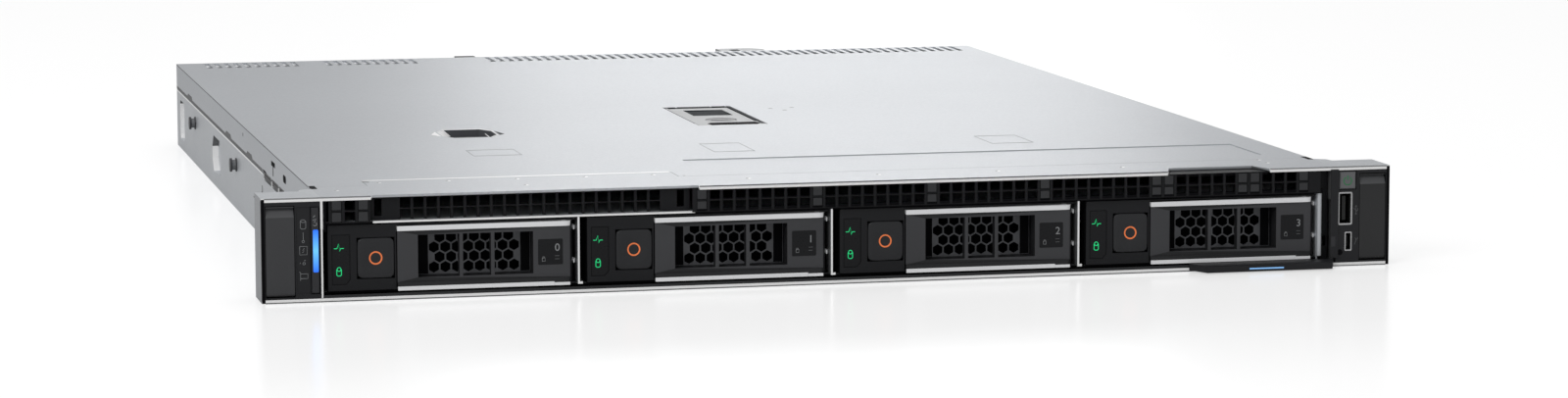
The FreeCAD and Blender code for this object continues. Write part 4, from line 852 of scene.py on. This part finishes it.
def side_details():
    """Painted shade along the foot of the cover's flange and up into its hooks, a painted highlight on the
    wall edge under it, and the small openings painted as shade.
    """
    for sign, name in ((-1, "left"), (1, "right")):
        x = sign * half_body

        def patch(piece, outlines, mat, body="cover", proud=0.03):
            slab("%s_%s" % (piece, name), side, outlines, x + sign * proud, x - sign * 0.4, mat, body)

        # Painted shade along the foot of the flange, reaching up into its hooks.
        patch("flange_foot", [oblong(199.0, cover_end, flange_foot, 31.4)]
              + [[(d0, 31.4), (d1, 31.4), (d1 - 4, 33.0), (d0 + 3, 33.0)] for d0, d1 in hooks], "seam")
        # Painted highlight along the top edge of the wall.
        patch("wall_edge_highlight", [oblong(199.0, cover_end, 28.9, 29.6)], "edge_and_highlight", "chassis", 0.05)
        patch("foot_slots", [oblong(d0, d1, flange_foot, 30.95) for d0, d1 in seam_slots], "slot_shade")
        patch("wall_slots", [oblong(d0 + 0.5, d1 - 0.5, 27.8, 29.6) for d0, d1 in seam_slots], "slot_shade",
              "chassis", -0.15)
        # Openings in the flange painted black as shade.
        patch("flange_openings", [
            oblong(152.0, 165.5, 37.0, 39.1), rounded(112.8, 123.0, 34.6, 37.9, 1.6),
            oblong(158.3, 160.3, 32.8, 37.0), circle(275.0, 38.7, 0.9, 16), circle(67.0, 37.4, 0.6, 12),
            [(183.0, 30.95), (197.0, 30.95), (197.0, 31.6), (187.0, 31.6)]], "painted_gap_shade")
        # Small slots in the wall drawn as painted shade.
        patch("wall_slot_shade", [
            [(199.5, 23.8), (202.0, 23.8), (202.0, 21.0), (204.5, 20.5), (204.5, 19.8), (199.5, 20.4)],
            oblong(203.0, 212.0, 16.4, 17.0), oblong(217.0, 236.0, 14.3, 14.9)], "seam", "chassis")
        slab("stud_flanges_%s" % name, side, [circle(depth, 21.3, 3.2, 28) for depth in stud_depths],
             x + sign * 0.55, x - sign * 0.1, "stud", "chassis", 0.1)
        # Corner notches painted black as shade.
        for d0, d1, body in ((28.1, 33.9, "chassis"), (34.4, 38.2, "cover")):
            corner = oblong(x - sign * 0.05, x - sign * 2.6, d0, d1)
            slab("corner_notch_shade_%s_%s" % (name, body), top, [corner], body_top + 0.03, 41.4,
                 "painted_gap_shade", body)


# ---- back
def socket_bores(name, u, v, rows, mat, depth):
    """Round bores of a socket; each row is (height, count, pitch)."""
    bores = [circle(u + (k - (count - 1) / 2) * pitch, v + row, 0.45, 10)
             for row, count, pitch in rows for k in range(count)]
    slab(name, front, bores, depth + 0.25, depth - 0.5, mat, "chassis")


def screw(shape, x, depth, z, radius):
    """Pan head with a cross recess, seen from the back."""
    count = 20

    def loop(radii, height):
        turns = [2 * math.pi * k / count for k in range(count)]
        return [shape.verts.new(at(x + r * math.cos(a), depth + height, z + r * math.sin(a)))
                for r, a in zip(radii, turns)]

    rings = [(radius, 0.0), (radius, 0.5), (radius * 0.8, 0.9), (radius * 0.45, 1.05)]
    loops = [loop([r] * count, height) for r, height in rings]
    loops.append(loop([radius * (0.4 if k % 5 == 0 else 0.14) for k in range(count)], 0.7))
    for one, two in zip(loops, loops[1:]):
        for i in range(count):
            j = (i + 1) % count
            shape.faces.new((one[i], one[j], two[j], two[i]))
    shape.faces.new(loops[-1])
    shape.faces.new(list(reversed(loops[0])))


def rear_details():
    screws = bmesh.new()
    for x, z in ((-205.0, 20.5), (-90.0, 34.5), (104.0, 20.5), (210.0, 20.5), (-50.0, 38.5)):
        screw(screws, x, panel_y, z, 1.7)
    solid("rear_screws", screws, "screw", "chassis")
    socket_bores("serial_pins", -30.5, 14.4, ((1.4, 5, 2.76), (-1.4, 4, 2.76)), "gold", panel_y + 1.0)
    socket_bores("video_bores", 26.5, 14.4, ((2.0, 5, 2.3), (0.0, 5, 2.3), (-2.0, 5, 2.3)), "port_dark",
                 panel_y + 1.6)
    slab("video_insert", back, [[(18.2, 11.4), (34.8, 11.4), (35.6, 17.4), (17.4, 17.4)]], 1.7, 0.7,
         "video_blue", "chassis", 0.2)
    pins, lamps = [], []
    for x in (-10.0, 66.0, 85.0):
        for k in range(8):
            u = x + 4.0 + k * 1.16
            pins.append(oblong(u, u + 0.5, 17.2, 19.4))
        lamps += [rounded(u, u + 2.4, 20.3, 21.7, 0.3) for u in (x + 0.5, x + 13.2)]
    slab("jack_contacts", back, pins, -9.0, -1.0, "gold", "chassis")
    slab("jack_lamps", back, lamps, 0.66, 0.3, "green", "chassis")
    for number in (1, 2):
        supply_details(number)
    slots = [rounded(x, x + 3.6, z, z + 12.8, 1.6)
             for z in (5.6, 23.8) for x in (118.0 + k * 6.2 for k in range(14))]
    # The perforations of the blanks and the vents of the boot module are painted black as shade.
    slab("blank_perforations", back, slots, -0.98, -1.3, "painted_gap_shade", "chassis")
    slab("boot_module_vents", back, [rounded(-81.5, -69.0, z, z + 2.2, 1.0) for z in range(10, 31, 4)],
         10.03, 9.6, "painted_gap_shade", "boot_carrier")


def supply_details(number):
    """Wire guard over the fan and the lamp of a power supply."""
    body = "supply_%d" % number
    x0 = left_of("power_supply_%d" % number)
    cx, cz, depth = x0 + 14.0, 14.2, panel_y + 2.05
    guard = []
    for radius in (2.0, 4.2, 6.4, 8.6):
        hoop = circle(cx, cz, radius, 28)
        guard.append(front(hoop + hoop[:1], depth + 0.35))
    for a in (45, 135, 225, 315):
        c, s = math.cos(math.radians(a)), math.sin(math.radians(a))
        guard.append(front([(cx, cz), (cx + 9.8 * c, cz + 9.8 * s)], depth + 0.2))
    strokes("supply_guard_%d" % number, guard, 0.7, "supply", body)
    slab("supply_lamp_%d" % number, front, [rounded(x0 + 44.5, x0 + 47.5, 23.6, 25.4, 0.6)],
         panel_y + 2.3, panel_y + 1.8, "green", body, 0.1)


# ---- inner parts seen through the vents
def inner_details():
    board = 8.6    # height of the board's top
    chips = bmesh.new()
    # Left edge, depth, width, length and height of each chip.
    for x, d, w, l, h in ((-30, 470, 16, 16, 2.0), (-36, 520, 9, 12, 1.4), (176, 420, 20, 20, 2.4),
                          (190, 470, 8, 6, 1.2), (176, 380, 12, 9, 1.4), (140, 545, 10, 10, 1.2),
                          (60, 520, 12, 12, 1.4), (20, 540, 7, 7, 1.0)):
        outline = rounded(x, x + w, d, d + l, 0.4)
        pull(chips, top(outline, board + h), top(outline, board - 0.1))
    solid("board_chips", chips, "chip", "chassis", 0.2)


# ---- studio
def studio():
    size = 12.0
    mesh = bpy.data.meshes.new("floor")
    mesh.from_pydata([(-size, -size, 0), (size, -size, 0), (size, size, 0), (-size, size, 0)], [],
                     [(0, 1, 2, 3)])
    floor = bpy.data.objects.new("floor", mesh)
    bpy.context.scene.collection.objects.link(floor)
    mat = bpy.data.materials.new("pale_floor")
    mat.use_nodes = True
    tree = mat.node_tree
    shader = tree.nodes["Principled BSDF"]
    shader.inputs["Base Color"].default_value = (0.72, 0.72, 0.72, 1)
    shader.inputs["Roughness"].default_value = 0.2
    shader.inputs["Specular IOR Level"].default_value = 0.25
    light = add(tree, "Emission", Strength=1.0)
    path = add(tree, "LightPath")
    scale = add(tree, "Math", operation="MULTIPLY")
    scale.inputs[1].default_value = 0.50    # glow of the floor that only the camera sees
    tree.links.new(path.outputs["Is Camera Ray"], scale.inputs[0])
    tree.links.new(scale.outputs[0], light.inputs["Strength"])
    total = add(tree, "AddShader")
    tree.links.new(shader.outputs[0], total.inputs[0])
    tree.links.new(light.outputs[0], total.inputs[1])
    tree.links.new(total.outputs[0], tree.nodes["Material Output"].inputs["Surface"])
    floor.data.materials.append(mat)

    world = bpy.data.worlds.new("studio")
    bpy.context.scene.world = world
    world.use_nodes = True
    tree = world.node_tree
    ground = tree.nodes["Background"]
    ground.inputs["Color"].default_value = (1, 1, 1, 1)
    ground.inputs["Strength"].default_value = 0.45
    white = add(tree, "Background", Strength=1.0)
    white.inputs["Color"].default_value = (1, 1, 1, 1)
    path = add(tree, "LightPath")
    either = add(tree, "Math", operation="MAXIMUM")
    tree.links.new(path.outputs["Is Camera Ray"], either.inputs[0])
    tree.links.new(path.outputs["Is Transmission Ray"], either.inputs[1])
    mix = add(tree, "MixShader")
    tree.links.new(either.outputs[0], mix.inputs[0])
    tree.links.new(ground.outputs[0], mix.inputs[1])
    tree.links.new(white.outputs[0], mix.inputs[2])
    tree.links.new(mix.outputs[0], tree.nodes["World Output"].inputs["Surface"])

    def lamp(name, location, target, width, height, power):
        data = bpy.data.lights.new(name, "AREA")
        data.shape = "RECTANGLE"
        data.size, data.size_y, data.energy = width, height, power
        obj = bpy.data.objects.new(name, data)
        obj.location = location
        obj.rotation_euler = (Vector(target) - Vector(location)).to_track_quat("-Z", "Y").to_euler()
        bpy.context.scene.collection.objects.link(obj)

    lamp("key", (-1.7, -1.75, 1.6), (0, -0.1, 0), 1.4, 1.0, 19)
    lamp("overhead", (0.0, 0.2, 2.2), (0, 0, 0), 2.0, 2.0, 12)
    lamp("back_sheet", (0.68, 2.6, 0.7), (0, 0.1, 0.04), 0.75, 0.6, 3.2)


def camera():
    data = bpy.data.cameras.new("camera")
    data.lens, data.sensor_width = 103.45, 36.0
    data.clip_start, data.clip_end = 0.05, 60.0
    obj = bpy.data.objects.new("camera", data)
    bpy.context.scene.collection.objects.link(obj)
    azimuth, elevation, roll = math.radians(-13.24), math.radians(-7.155), math.radians(-0.10)
    ahead = Vector((-math.sin(azimuth) * math.cos(elevation), math.cos(azimuth) * math.cos(elevation),
                    math.sin(elevation)))
    right = Vector((math.cos(azimuth), math.sin(azimuth), 0))
    up = (-ahead).cross(right)
    across = math.cos(roll) * right + math.sin(roll) * up
    upward = -math.sin(roll) * right + math.cos(roll) * up
    turn = Matrix((across, upward, -ahead)).transposed()
    obj.matrix_world = Matrix.Translation((-0.44799, -2.10328, 0.26835)) @ turn.to_4x4()
    bpy.context.scene.camera = obj


camera()
dress_case()
left_controls()
right_controls()
thumb_plate(-1, "left")
thumb_plate(1, "right")
front_hems()
vent_face("long_vent_face", -63.2, 209.9, -59.25, 49, (0, 9, 18, 27, 36, 37, 43, 44, 48))
vent_face("side_vent_face", -213.6, -196.6, -210.35, 3, (0, 2))
for bay in range(1, 5):
    bay_details(bay)
top_details()
side_details()
rear_details()
inner_details()
studio()

scene = bpy.context.scene
scene.view_settings.view_transform = "Standard"
